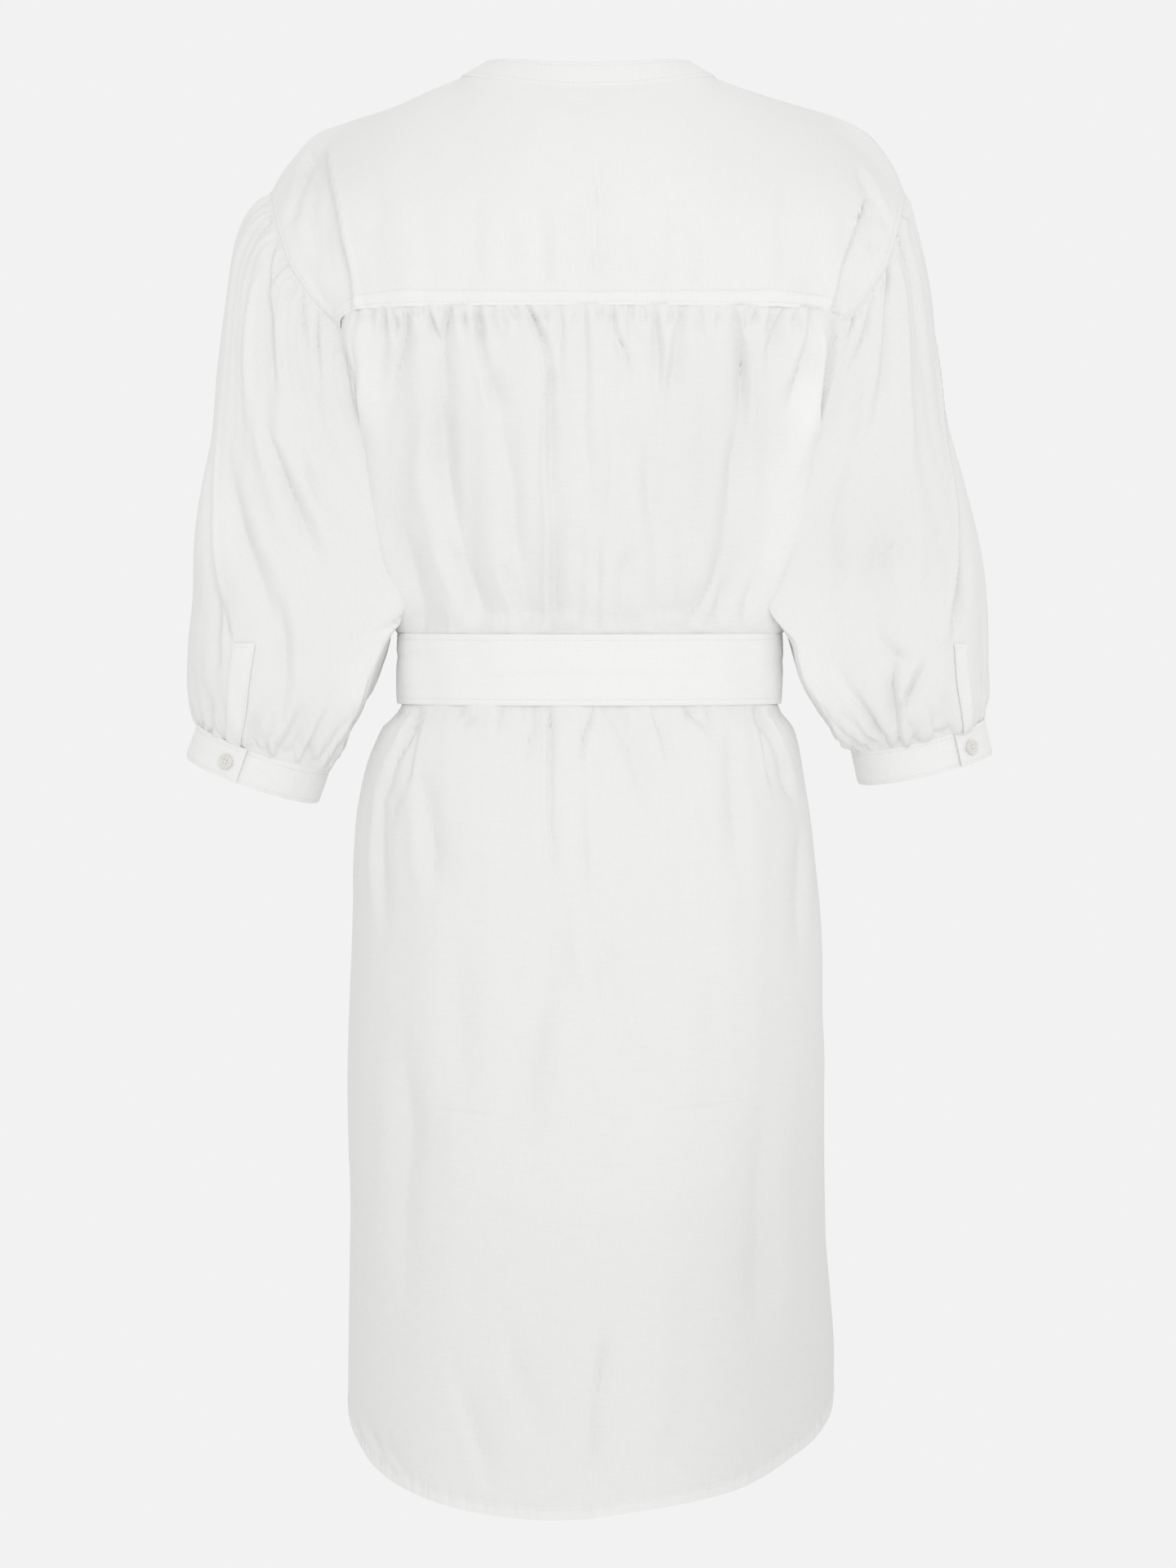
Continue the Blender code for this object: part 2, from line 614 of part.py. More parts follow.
def back_columns():
    """Columns of the back panel: a valley at each gather and a ridge between two."""
    columns = [(1.0, 1.0, 0.0, 0.1), (0.92, 0.925, -0.0015, 0.1)]
    valleys = []
    belt = SECTIONS[7]
    for gather in BACK_GATHERS:
        belt_half = belt.left if gather.belt_x > 0 else belt.right
        valleys.append((share_of_width(gather.seam_x, ARMHOLE[4].x),
                        share_of_width(gather.belt_x, belt_half), gather.depth, gather.length))
    for index, valley in enumerate(valleys):
        columns.append(valley)
        if index < len(valleys) - 1:
            after = valleys[index + 1]
            columns.append(((valley[0] + after[0]) / 2, (valley[1] + after[1]) / 2,
                            -RIDGE_SHARE * (valley[2] + after[2]) / 2, min(valley[3], after[3])))
    columns += [(-0.92, -0.925, -0.0015, 0.1), (-1.0, -1.0, 0.0, 0.1)]
    return columns


def back_panel(material):
    """The back below the yoke: gathered into it, held in by the belt, with a shirt-tail hem."""
    columns = back_columns()
    last = len(columns) - 1
    upper = UNDERARM_ROWS[:1] + (GATHER_ROW,) + UNDERARM_ROWS[1:] + LOWER_ROWS
    belt_middle = (BELT_TOP + BELT_BOTTOM) / 2
    rows, heights = [], []
    for level in upper:
        line, line_heights = [], []
        for index, (seam_w, belt_w, depth, length) in enumerate(columns):
            even_w = 1 - 2 * index / last
            if level >= belt_middle:
                w = mix(seam_w, belt_w, (SEAM_LEVEL - level) / (SEAM_LEVEL - belt_middle))
            else:
                w = mix(belt_w, even_w, ease((belt_middle - level) / (belt_middle - HEM[0].left)))
            line.append(panel_point(BACK, w, level))
            line_heights.append(level)
        rows.append(line)
        heights.append(line_heights)
    for share in SKIRT_SHARES:
        line, line_heights = [], []
        for index, (seam_w, belt_w, depth, length) in enumerate(columns):
            even_w = 1 - 2 * index / last
            middle = mix(HIP_LEVEL, HEM[0].left, share)
            w = mix(belt_w, even_w, ease((belt_middle - middle) / (belt_middle - HEM[0].left)))
            level = mix(HIP_LEVEL, hem_level(BACK, w), share)
            line.append(panel_point(BACK, w, level))
            line_heights.append(level)
        rows.append(line)
        heights.append(line_heights)
    for point in rows[0][1:-1]:
        point.z -= HALF_GAP

    def amount(i, j):
        if i == 0 or j in (0, last):
            return 0.0
        depth, length = columns[j][2], columns[j][3]
        level, point = heights[i][j], rows[i][j]
        fall = SEAM_LEVEL - level
        gather = -depth * (0.4 + 0.6 * ease(fall / 0.011)) * (1 - ease(fall / length))
        nearest = min(abs(level - BELT_TOP), abs(level - BELT_BOTTOM))
        pucker = (-1 if depth > 0 else 1) * 0.0014 * exp(-nearest / 0.022)
        under_belt = BELT_BOTTOM - 0.001 <= level <= BELT_TOP + 0.001
        if under_belt or level > UNDERARM_LEVEL:
            pucker *= 0.15
        fold = 0.0 if under_belt else sunk(point.x, point.z, BACK_FOLDS)
        return gather + pucker - fold

    rows = moved(rows, False, amount)

    def turn_at(place):
        level = upper[place]
        return mix(YOKE_TURN, 180, (level - SEAM_LEVEL) / (UNDERARM_LEVEL - SEAM_LEVEL))

    def side_edge(side):
        def rule(place, inward):
            if place < len(UNDERARM_ROWS):
                return armhole_inward(turn_at(place), side, BACK, ACROSS * -1)
            return without(DEEP)(place, inward)
        return rule

    rules = {"top": without(UP), "first": side_edge(LEFT), "last": side_edge(RIGHT)}
    return cloth("back_panel", rows, material, edges=rules)


FRONT_CHEST = CHEST_SHARES[:-1]
FRONT_UPPER = UNDERARM_ROWS + LOWER_ROWS


def front_grid(columns):
    """Points of the front over the given columns, from the neck to the hem."""
    rows = [[chest_point(FRONT, w, v) for w in columns] for v in FRONT_CHEST]
    rows += [[panel_point(FRONT, w, level) for w in columns] for level in FRONT_UPPER]
    for share in SKIRT_SHARES:
        rows.append([panel_point(FRONT, w, mix(HIP_LEVEL, hem_level(FRONT, w), share)) for w in columns])
    return rows


def front_panel(name, side, material):
    """One front, from the middle to the side seam and the armhole."""
    columns = [side * w for w in FRONT_COLUMNS]
    columns[0] = side * 0.0006
    if side == RIGHT:
        columns.reverse()
    rows = front_grid(columns)
    side_place = -1 if side == LEFT else 0
    first_belt_row = len(FRONT_CHEST) + FRONT_UPPER.index(BELT_TOP)
    belt_rows = (first_belt_row, first_belt_row + 1)
    middle = 0 if side == LEFT else len(columns) - 1
    near_middle = (0, 1) if side == LEFT else (len(columns) - 2, len(columns) - 1)

    def amount(i, j):
        on_edge = i == 0 or j == side_place % len(columns)
        if on_edge or j in near_middle or i in belt_rows:
            return 0.0
        point = rows[i][j]
        return -sunk(point.x, point.z, FRONT_FOLDS)

    rows = moved(rows, False, amount)
    for row in rows:
        row[middle].x = side * HALF_GAP

    def armhole_or_side(place, inward):
        chest = len(FRONT_CHEST)
        if place < chest:
            return armhole_inward(YOKE_TURN * FRONT_CHEST[place], side, FRONT, ACROSS * -1)
        if place < chest + len(UNDERARM_ROWS) - 1:
            down = (FRONT_UPPER[place - chest] - SEAM_LEVEL) / (UNDERARM_LEVEL - SEAM_LEVEL)
            return armhole_inward(mix(YOKE_TURN, 180, down), side, FRONT, ACROSS * -1)
        return without(DEEP)(place, inward)

    def top(place, inward):
        if abs(columns[place]) > NECK_SHARE - 0.001:
            return without(DEEP)(place, inward)
        return inward

    outer, centre = ("last", "first") if side == LEFT else ("first", "last")
    rules = {"top": top, outer: armhole_or_side, centre: without(ACROSS)}
    return cloth(name, rows, material, edges=rules)


def placket_rows(half_width, lift):
    """The strip down the middle of the front, made from the fronts' own points moved out."""
    shares = (-1.0, 0.0, 1.0)
    columns = [share * 0.056 for share in shares]
    rows = front_grid(columns)
    rows = moved(rows, False, lambda i, j: lift)
    for row in rows:
        for share, point in zip(shares, row):
            point.x = share * half_width
    return rows


def front_placket(material):
    """The button strip, from just below the collar band to the hem."""
    rows = placket_rows(PLACKET_HALF_WIDTH, SEAM_GAP + WALL)
    for point in rows[0]:
        point += Vector((0, -0.0008, -0.0012))
    return cloth("front_placket", rows, material)


def place_disc(name, middle, outward, material):
    """A round button, its back a seam's gap off the cloth."""
    mesh = bmesh.new()
    bmesh.ops.create_cone(mesh, cap_ends=True, segments=BUTTON_SIDES, radius1=BUTTON_RADIUS,
                          radius2=BUTTON_RADIUS * 0.9, depth=BUTTON_THICKNESS)
    turn = UP.rotation_difference(outward)
    centre = middle + outward * (SEAM_GAP + BUTTON_THICKNESS / 2)
    for vertex in mesh.verts:
        vertex.co = turn @ vertex.co + centre
    return finish(name, mesh, material)


def front_buttons(material):
    """Buttons down the placket, with none behind the belt's knot."""
    rows = placket_rows(PLACKET_HALF_WIDTH, SEAM_GAP + WALL)
    ways = way_out(rows, False)
    line = [(row[1].z, row[1], ways[i][1]) for i, row in enumerate(rows)]
    for number, level in enumerate(BUTTON_LEVELS, start=1):
        for (z0, point0, way0), (z1, point1, way1) in zip(line, line[1:]):
            if z1 <= level <= z0:
                share = (z0 - level) / (z0 - z1)
                way = mix(way0, way1, share).normalized()
                place_disc(f"front_button_{number}", mix(point0, point1, share) + way * 0.0001, way, material)
                break


def sleeve_turns():
    """Turns round a sleeve: the armhole's seam turns, with one more between each two."""
    behind = []
    for low, high in zip(SEAM_TURNS, SEAM_TURNS[1:]):
        behind += [low, (low + high) / 2]
    ahead = [360 - turn for turn in reversed(behind[1:])]
    return tuple(behind + [180] + ahead)


SLEEVE_TURNS = sleeve_turns()
SLEEVE_COLUMNS = len(SLEEVE_TURNS)


def sleeve_base(side):
    """Rings of one sleeve; the first is the armhole itself."""
    rings = SLEEVE_RINGS[side]
    rows = []
    for number, ring in enumerate(rings):
        centre = Vector(((ring.outer_x + ring.inner_x) / 2, ring.middle, (ring.outer_z + ring.inner_z) / 2))
        reach = Vector(((ring.outer_x - ring.inner_x) / 2, 0, (ring.outer_z - ring.inner_z) / 2))
        pull = max(0.0, 1 - number / 4) ** 1.5
        dip = CUFF_DIP * ease((number - 8) / 5)
        line = []
        for turn in SLEEVE_TURNS:
            angle = radians(turn)
            point = centre + reach * cos(angle) + (DEEP * ring.depth - UP * dip) * sin(angle)
            if pull > 0:
                face = BACK if turn <= 180 else FRONT
                first = rings[0]
                middle = Vector(((first.outer_x + first.inner_x) / 2, 0, (first.outer_z + first.inner_z) / 2))
                first_reach = Vector(((first.outer_x - first.inner_x) / 2, 0, (first.outer_z - first.inner_z) / 2))
                plain = middle + first_reach * cos(angle) + DEEP * first.depth * sin(angle)
                seam = armhole_point(turn if turn <= 180 else 360 - turn, LEFT, face)
                point += (seam - plain) * pull
            line.append(sided(point, side))
        rows.append(line)
    for j in range(SLEEVE_COLUMNS):
        rows[0][j] += sided(ARM_AXIS, side) * HALF_GAP
    return rows


def sleeve_amount(side, i, j):
    """How far a sleeve's cloth stands in or out: gathers at the head and the cuff, long folds between."""
    last = len(SLEEVE_RINGS[side]) - 1
    if i in (0, last):
        return 0.0
    turn = SLEEVE_TURNS[j]
    away = min(turn, 360 - turn)
    wave = 1 if j % 2 else -1
    head = HEAD_GATHER * wave * (1 - ease(i / 4.5)) * (1 - ease((away - HEAD_GATHER_REACH) / 20))
    foot = CUFF_GATHER * wave * ease((i - 8.5) / 3.0) * (0.55 if i == last - 1 else 1.0)
    depth = 0.0
    for fold in SLEEVE_FOLDS[side]:
        if fold.ring0 <= i <= fold.ring1:
            share = (i - fold.ring0) / (fold.ring1 - fold.ring0)
            off = turn - mix(fold.turn0, fold.turn1, share)
            depth += fold.depth * sin(pi * min(share * 1.2 + 0.1, 1.0)) * exp(-(off / fold.width) ** 2)
    inner_side = ease((away - 130) / 30)
    return (head + foot) * (1 - 0.6 * inner_side) - depth


def sleeve_rows(side):
    base = sleeve_base(side)
    if side == RIGHT:
        base = [list(reversed(row)) for row in base]
        return moved(base, True, lambda i, j: sleeve_amount(side, i, SLEEVE_COLUMNS - 1 - j))
    return moved(base, True, lambda i, j: sleeve_amount(side, i, j))


def sleeve(name, side, material):
    """A puffed three-quarter sleeve, gathered into the armhole and the cuff."""
    rows = sleeve_rows(side)
    rings = SLEEVE_RINGS[side]
    last = rings[-1]
    cuff_axis = sided(cuff_down(last), side)

    def at_armhole(place, inward):
        turn = SLEEVE_TURNS[SLEEVE_COLUMNS - 1 - place if side == RIGHT else place]
        face = BACK if turn <= 180 else FRONT
        return armhole_inward(turn if turn <= 180 else 360 - turn, side, face, Vector((0.95, 0, 0.3)))

    rules = {"top": at_armhole, "bottom": without(cuff_axis)}
    return cloth(name, rows, material, closed=True, edges=rules)


def cuff_down(ring):
    """The way down along a cuff, square to its ring."""
    reach = Vector((ring.outer_x - ring.inner_x, 0, ring.outer_z - ring.inner_z))
    return reach.cross(DEEP * CUFF_DEPTH - UP * CUFF_DIP).normalized() * -1


def cuff_point(side, turn, down, lift):
    """A point of a cuff: turn round it, distance below its seam, and how far it stands out."""
    ring = SLEEVE_RINGS[side][-1]
    centre = Vector(((ring.outer_x + ring.inner_x) / 2, ring.middle, (ring.outer_z + ring.inner_z) / 2))
    reach = Vector(((ring.outer_x - ring.inner_x) / 2, 0, (ring.outer_z - ring.inner_z) / 2))
    angle = radians(turn)
    wide = 1 + lift / reach.length
    deep = 1 + lift / CUFF_DEPTH
    point = centre + reach * cos(angle) * wide + (DEEP * CUFF_DEPTH - UP * CUFF_DIP) * sin(angle) * deep
    return sided(point + cuff_down(ring) * (SEAM_GAP + down), side)


def cuff_lift(side, turn):
    """The last stretch of a cuff rises over its own beginning."""
    return (WALL + SEAM_GAP + 0.0003) * ease((turn - (CUFF_BUTTON_TURN[side] + 300)) / 36)


def cuff(name, side, material):
    """A cuff, which laps over itself where it buttons."""
    start = CUFF_BUTTON_TURN[side] - CUFF_OVERLAP / 2
    turns = [start + (360 + CUFF_OVERLAP) * step / CUFF_STEPS for step in range(CUFF_STEPS + 1)]
    if side == RIGHT:
        turns.reverse()
    rows = [[cuff_point(side, turn, down, cuff_lift(side, turn)) for turn in turns]
            for down in (0.0, CUFF_HEIGHT)]
    axis = sided(cuff_down(SLEEVE_RINGS[side][-1]), side)
    return cloth(name, rows, material, edges={"top": without(axis), "bottom": without(axis)})


def cuff_button(name, side, material):
    turn = CUFF_BUTTON_TURN[side]
    lift = cuff_lift(side, turn + 360)
    middle = cuff_point(side, turn, CUFF_HEIGHT / 2, lift)
    hub = cuff_point(side, turn, CUFF_HEIGHT / 2, -0.01)
    return place_disc(name, middle, (middle - hub).normalized(), material)


def sleeve_placket(name, side, material):
    """The narrow bound slit above each cuff, made from the sleeve's points moved out."""
    base = sleeve_rows(side)
    rows = []
    for ring in range(9, 14):
        line = []
        for step in PLACKET_STEPS[side]:
            place = SLEEVE_COLUMNS - 1 - step if side == RIGHT else step
            line.append(base[ring][place].copy())
        line = [mix(line[0], line[1], 0.1), mix(line[0], line[1], 0.9)]
        if side == RIGHT:
            line.reverse()
        rows.append(line)
    rows[-1] = [mix(low, high, 0.75) for low, high in zip(rows[-2], rows[-1])]
    rows = moved(rows, False, lambda i, j: WALL + SEAM_GAP + PLACKET_CLEARANCE)
    return cloth(name, rows, material)


def belt_point(turn, share, lift):
    """A point of the belt: turn is 0 degrees at the back; share is 0 at its top, 1 at its bottom."""
    side = LEFT if turn >= 0 else RIGHT
    around = abs(turn)
    face = BACK if around <= 90 else FRONT
    w = side * (around / 90 if face == BACK else (180 - around) / 90)
    dip = BELT_DIP * max(0.0, cos(radians(around)))
    level = mix(BELT_TOP - 0.0006, BELT_BOTTOM + 0.0006, share)
    point = panel_point(face, w, (BELT_TOP + BELT_BOTTOM) / 2)
    reach = Vector((point.x, point.y, 0)).normalized()
    return Vector((point.x, point.y, level - dip)) + reach * (BELT_STAND_OFF + WALL + lift)


def belt(material):
    """The tie belt round the waist; its two ends go into the knot in front."""
    reach = 180 - BELT_KNOT_GAP / 2
    turns = [mix(reach, -reach, step / 48) for step in range(49)]
    rows = [[belt_point(turn, share, 0) for turn in turns] for share in (0.0, 0.5, 1.0)]
    return cloth("belt", rows, material, edges={"top": without(UP), "bottom": without(UP)})


def belt_knot(material):
    """The plain knot, whose flat back lies on the belt's two ends."""
    front = belt_point(180, 0.5, 0)
    centre = Vector((0, front.y - KNOT_BACK - SEAM_GAP, front.z))
    mesh = bmesh.new()
    bmesh.ops.create_uvsphere(mesh, u_segments=14, v_segments=9, radius=1)
    for vertex in mesh.verts:
        x, y, z = vertex.co
        pinch = 1 - 0.16 * z * z
        depth = min(y * KNOT_HALF.y, KNOT_BACK)
        vertex.co = centre + Vector((x * KNOT_HALF.x * pinch, depth, z * KNOT_HALF.z))
    return finish("belt_knot", mesh, material)


TailRow = namedtuple("TailRow", "drop out half_width stand tilt")
TAIL_ROWS = (
    TailRow(0.000, 0.006, 0.010, 0.0060, 0.000),
    TailRow(0.020, 0.013, 0.015, 0.0068, 0.000),
    TailRow(0.055, 0.024, 0.020, 0.0075, 0.001),
    TailRow(0.110, 0.032, 0.0235, 0.0070, -0.001),
    TailRow(0.180, 0.038, 0.0245, 0.0065, 0.001),
    TailRow(0.240, 0.042, 0.0245, 0.0065, -0.001),
    TailRow(0.290, 0.045, 0.0245, 0.0065, 0.000),
)


def belt_tail(name, side, material):
    """One loose end of the belt, hanging from the knot down the front of the skirt."""
    rows = []
    start = (BELT_TOP + BELT_BOTTOM) / 2 - KNOT_HALF.z + 0.001
    for row in TAIL_ROWS:
        line = []
        for share in (-1.0, -0.33, 0.33, 1.0):
            x = side * (row.out + SEAM_GAP * 2) + share * row.half_width
            if side * x < 0.0006:
                x = side * 0.0006
            level = start - row.drop * TAIL_LENGTH[side] / TAIL_ROWS[-1].drop
            half = along(SECTIONS, "z", "left" if side == LEFT else "right", level)
            skin = panel_point(FRONT, share_of_width(x, half), level)
            line.append(Vector((x, skin.y - row.stand - row.tilt * share, level)))
        rows.append(line)
    return cloth(name, rows, material)


def build():
    for thing in list(bpy.data.objects):
        bpy.data.objects.remove(thing, do_unlink=True)
    cotton = paint("white_cotton", (0.83, 0.83, 0.82), 0.85)
    shell = paint("white_button", (0.80, 0.79, 0.76), 0.35)
    collar_band(cotton)
    yoke(cotton)
    back_panel(cotton)
    front_panel("front_left", LEFT, cotton)
    front_panel("front_right", RIGHT, cotton)
    front_placket(cotton)
    front_buttons(shell)
    for word, side in (("left", LEFT), ("right", RIGHT)):
        sleeve(f"sleeve_{word}", side, cotton)
        sleeve_placket(f"sleeve_placket_{word}", side, cotton)
        cuff(f"cuff_{word}", side, cotton)
        cuff_button(f"cuff_button_{word}", side, shell)
        belt_tail(f"belt_tail_{word}", side, cotton)
    belt(cotton)
    belt_knot(cotton)


build()
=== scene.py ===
"""The shirt dress as the photo shows it from behind: thin white cotton on the walls of the solids.

Metres, +Z up. The front faces -Y, the back faces +Y, and the wearer's left is +X.
Creases are listed in millimetres and degrees, and every panel keeps its solid's form.
"""
from collections import namedtuple
from math import cos, pi, radians, sin

import bpy
import numpy as np
from mathutils import Matrix, Vector


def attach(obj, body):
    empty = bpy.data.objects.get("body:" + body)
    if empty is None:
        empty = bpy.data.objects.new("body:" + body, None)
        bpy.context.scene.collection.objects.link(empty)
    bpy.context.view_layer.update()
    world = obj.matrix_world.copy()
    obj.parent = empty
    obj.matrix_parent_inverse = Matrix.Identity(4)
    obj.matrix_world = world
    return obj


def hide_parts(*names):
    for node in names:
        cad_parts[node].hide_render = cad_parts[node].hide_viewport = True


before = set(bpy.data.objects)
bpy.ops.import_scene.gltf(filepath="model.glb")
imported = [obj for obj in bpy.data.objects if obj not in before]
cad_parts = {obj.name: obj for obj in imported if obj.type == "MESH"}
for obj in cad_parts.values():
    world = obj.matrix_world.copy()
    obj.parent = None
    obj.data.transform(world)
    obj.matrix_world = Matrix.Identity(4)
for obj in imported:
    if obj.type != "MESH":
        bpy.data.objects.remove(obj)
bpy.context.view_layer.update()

# Sizes that the solids have too
SEAM_GAP = 0.0003
SEAM_LEVEL = -0.153
UNDERARM_LEVEL = -0.250
BELT_TOP = -0.3790
BELT_BOTTOM = -0.4305
BELT_MIDDLE = (BELT_TOP + BELT_BOTTOM) / 2
HIP_LEVEL = -0.500
HEM_FRONT_LIFT = 0.020
NECK_HALF_WIDTH = 0.0905
NECK_MIDDLE = -0.005
NECK_BACK = 0.067
NECK_FRONT = 0.086
NECK_SIDE_LEVEL = 0.0215
NECK_BACK_LEVEL = 0.0067
NECK_FRONT_LEVEL = -0.066
BAND_HEIGHT = 0.018
NECK_SHARE = 0.51
PLACKET_HALF_WIDTH = 0.015
BUTTON_RADIUS = 0.00525
BUTTON_LEVELS = (-0.105, -0.190, -0.275, -0.350, -0.500, -0.590, -0.680, -0.770)
CUFF_HEIGHT = 0.024
CUFF_DEPTH = 0.0415
CUFF_DIP = 0.0062
CUFF_OVERLAP = 26
BELT_DIP = 0.003
BODY_ROUNDNESS = 2.3
YOKE_TURN = 115
YOKE_CREASE = 0.885
BACK, FRONT = 1, -1
LEFT, RIGHT = 1, -1
CUFF_BUTTON_TURN = {LEFT: 66, RIGHT: 47}
TAIL_LENGTH = {LEFT: 0.300, RIGHT: 0.265}

# One layer of the cloth, and what is sewn double or folded
CLOTH = 0.0004
DOUBLED = 0.0011
COLLAR_CLOTH = 0.0016
BELT_CLOTH = 0.0014
KNOT_CLOTH = 0.0008

# Where the hollow under the arm ends, and where a sleeve lies against the body and ends
HOLLOW_END = -0.315
TOUCH_TURN = 143
LAST_RING = 13
# The rolled hem and its stitches above the edge, and how far stitches lie off the cloth
HEM_HEIGHT = 0.0078
HEM_STITCHES = 0.0068
STITCH_RAISE = 0.00005
# How far a cuff stands out, and its button beyond it
CUFF_RISE = 0.0012
BUTTON_SEAT = 0.0012
# From the hips to the hem
BACK_SKIRT = 0.50
FRONT_SKIRT = 0.47


def table(kind, rows):
    """Rows of plain numbers, each number under its column's name."""
    return tuple(kind(*row) for row in rows)


Section = namedtuple("Section", "z left right back front")
SECTIONS = table(Section, (
    (-0.120, 0.1740, 0.1740, 0.122, 0.108),
    (-0.153, 0.1740, 0.1740, 0.124, 0.116),
    (-0.200, 0.1640, 0.1640, 0.122, 0.124),
    (-0.250, 0.1570, 0.1570, 0.117, 0.126),
    (-0.300, 0.1520, 0.1530, 0.112, 0.121),
    (-0.335, 0.1465, 0.1435, 0.106, 0.114),
    (-0.362, 0.1400, 0.1370, 0.099, 0.106),
    (-0.379, 0.1329, 0.1353, 0.093, 0.099),
    (-0.431, 0.1329, 0.1353, 0.093, 0.099),
    (-0.450, 0.1490, 0.1480, 0.102, 0.105),
    (-0.478, 0.1600, 0.1545, 0.113, 0.112),
    (-0.520, 0.1675, 0.1605, 0.123, 0.117),
    (-0.595, 0.1695, 0.1670, 0.131, 0.121),
    (-0.700, 0.1730, 0.1695, 0.134, 0.124),
    (-0.800, 0.1708, 0.1704, 0.133, 0.125),
    (-0.900, 0.1722, 0.1765, 0.131, 0.126),
    (-1.001, 0.1700, 0.1750, 0.130, 0.126),
))

Ridge = namedtuple("Ridge", "x left right")
RIDGE = table(Ridge, (
    (0.0905, 0.0215, 0.0215),
    (0.1130, 0.0118, 0.0125),
    (0.1400, -0.0006, 0.0036),
    (0.1730, -0.0117, -0.0063),
    (0.1950, -0.0200, -0.0155),
    (0.2098, -0.0350, -0.0290),
    (0.2192, -0.0468, -0.0422),
    (0.2274, -0.0610, -0.0610),
))

Hem = namedtuple("Hem", "w left right")
HEM = table(Hem, (
    (0.00, -0.9995, -0.9995),
    (0.10, -1.0005, -0.9955),
    (0.25, -0.9980, -0.9895),
    (0.40, -0.9920, -0.9815),
    (0.50, -0.9860, -0.9730),
    (0.60, -0.9783, -0.9625),
    (0.70, -0.9680, -0.9535),
    (0.80, -0.9550, -0.9430),
    (0.90, -0.9430, -0.9335),
    (1.00, -0.9310, -0.9170),
))

Armhole = namedtuple("Armhole", "turn x y z")
ARMHOLE = table(Armhole, (
    (0, 0.2274, 0.0000, -0.0610),
    (30, 0.2215, 0.0340, -0.0870),
    (60, 0.2110, 0.0580, -0.1190),
    (90, 0.1950, 0.0700, -0.1430),
    (115, 0.1744, 0.0710, -0.1690),
    (140, 0.1625, 0.0560, -0.2145),
    (165, 0.1580, 0.0220, -0.2430),
    (180, 0.1570, 0.0000, -0.2500),
))
ARM_AXIS = np.array((0.935, 0, -0.356))

Ring = namedtuple("Ring", "outer_x outer_z inner_x inner_z depth middle")
SLEEVE_RINGS = {
    LEFT: table(Ring, (
        (0.2274, -0.0610, 0.1570, -0.2500, 0.0700, 0.000),
        (0.2440, -0.0775, 0.1588, -0.2560, 0.0690, 0.000),
        (0.2535, -0.1010, 0.1602, -0.2620, 0.0680, 0.000),
        (0.2600, -0.1400, 0.1612, -0.2720, 0.0660, -0.001),
        (0.2650, -0.1850, 0.1608, -0.2840, 0.0650, -0.002),
        (0.2700, -0.2300, 0.1590, -0.2980, 0.0645, -0.003),
        (0.2785, -0.2750, 0.1565, -0.3160, 0.0645, -0.004),
        (0.2825, -0.3150, 0.1530, -0.3370, 0.0650, -0.005),
        (0.2840, -0.3520, 0.1475, -0.3600, 0.0660, -0.006),
        (0.2880, -0.3880, 0.1425, -0.3850, 0.0660, -0.007),
        (0.2890, -0.4120, 0.1490, -0.4050, 0.0650, -0.008),
        (0.2868, -0.4290, 0.1605, -0.4310, 0.0610, -0.008),
        (0.2840, -0.4400, 0.1760, -0.4600, 0.0530, -0.009),
        (0.2809, -0.4448, 0.1874, -0.4777, 0.0415, -0.009),
    )),
    RIGHT: table(Ring, (
        (0.2274, -0.0610, 0.1570, -0.2500, 0.0700, 0.000),
        (0.2330, -0.0790, 0.1588, -0.2560, 0.0690, 0.000),
        (0.2390, -0.1010, 0.1602, -0.2620, 0.0680, 0.000),
        (0.2465, -0.1400, 0.1615, -0.2720, 0.0660, -0.001),
        (0.2525, -0.1850, 0.1615, -0.2840, 0.0650, -0.002),
        (0.2600, -0.2300, 0.1600, -0.2980, 0.0645, -0.003),
        (0.2722, -0.2750, 0.1570, -0.3160, 0.0645, -0.004),
        (0.2820, -0.3150, 0.1490, -0.3370, 0.0650, -0.005),
        (0.2872, -0.3520, 0.1430, -0.3600, 0.0660, -0.006),
        (0.2890, -0.3880, 0.1445, -0.3850, 0.0660, -0.007),
        (0.2897, -0.4120, 0.1505, -0.4100, 0.0650, -0.008),
        (0.2892, -0.4250, 0.1640, -0.4330, 0.0610, -0.008),
        (0.2870, -0.4360, 0.1800, -0.4560, 0.0530, -0.009),
        (0.2840, -0.4415, 0.1905, -0.4635, 0.0415, -0.009),
    )),
}

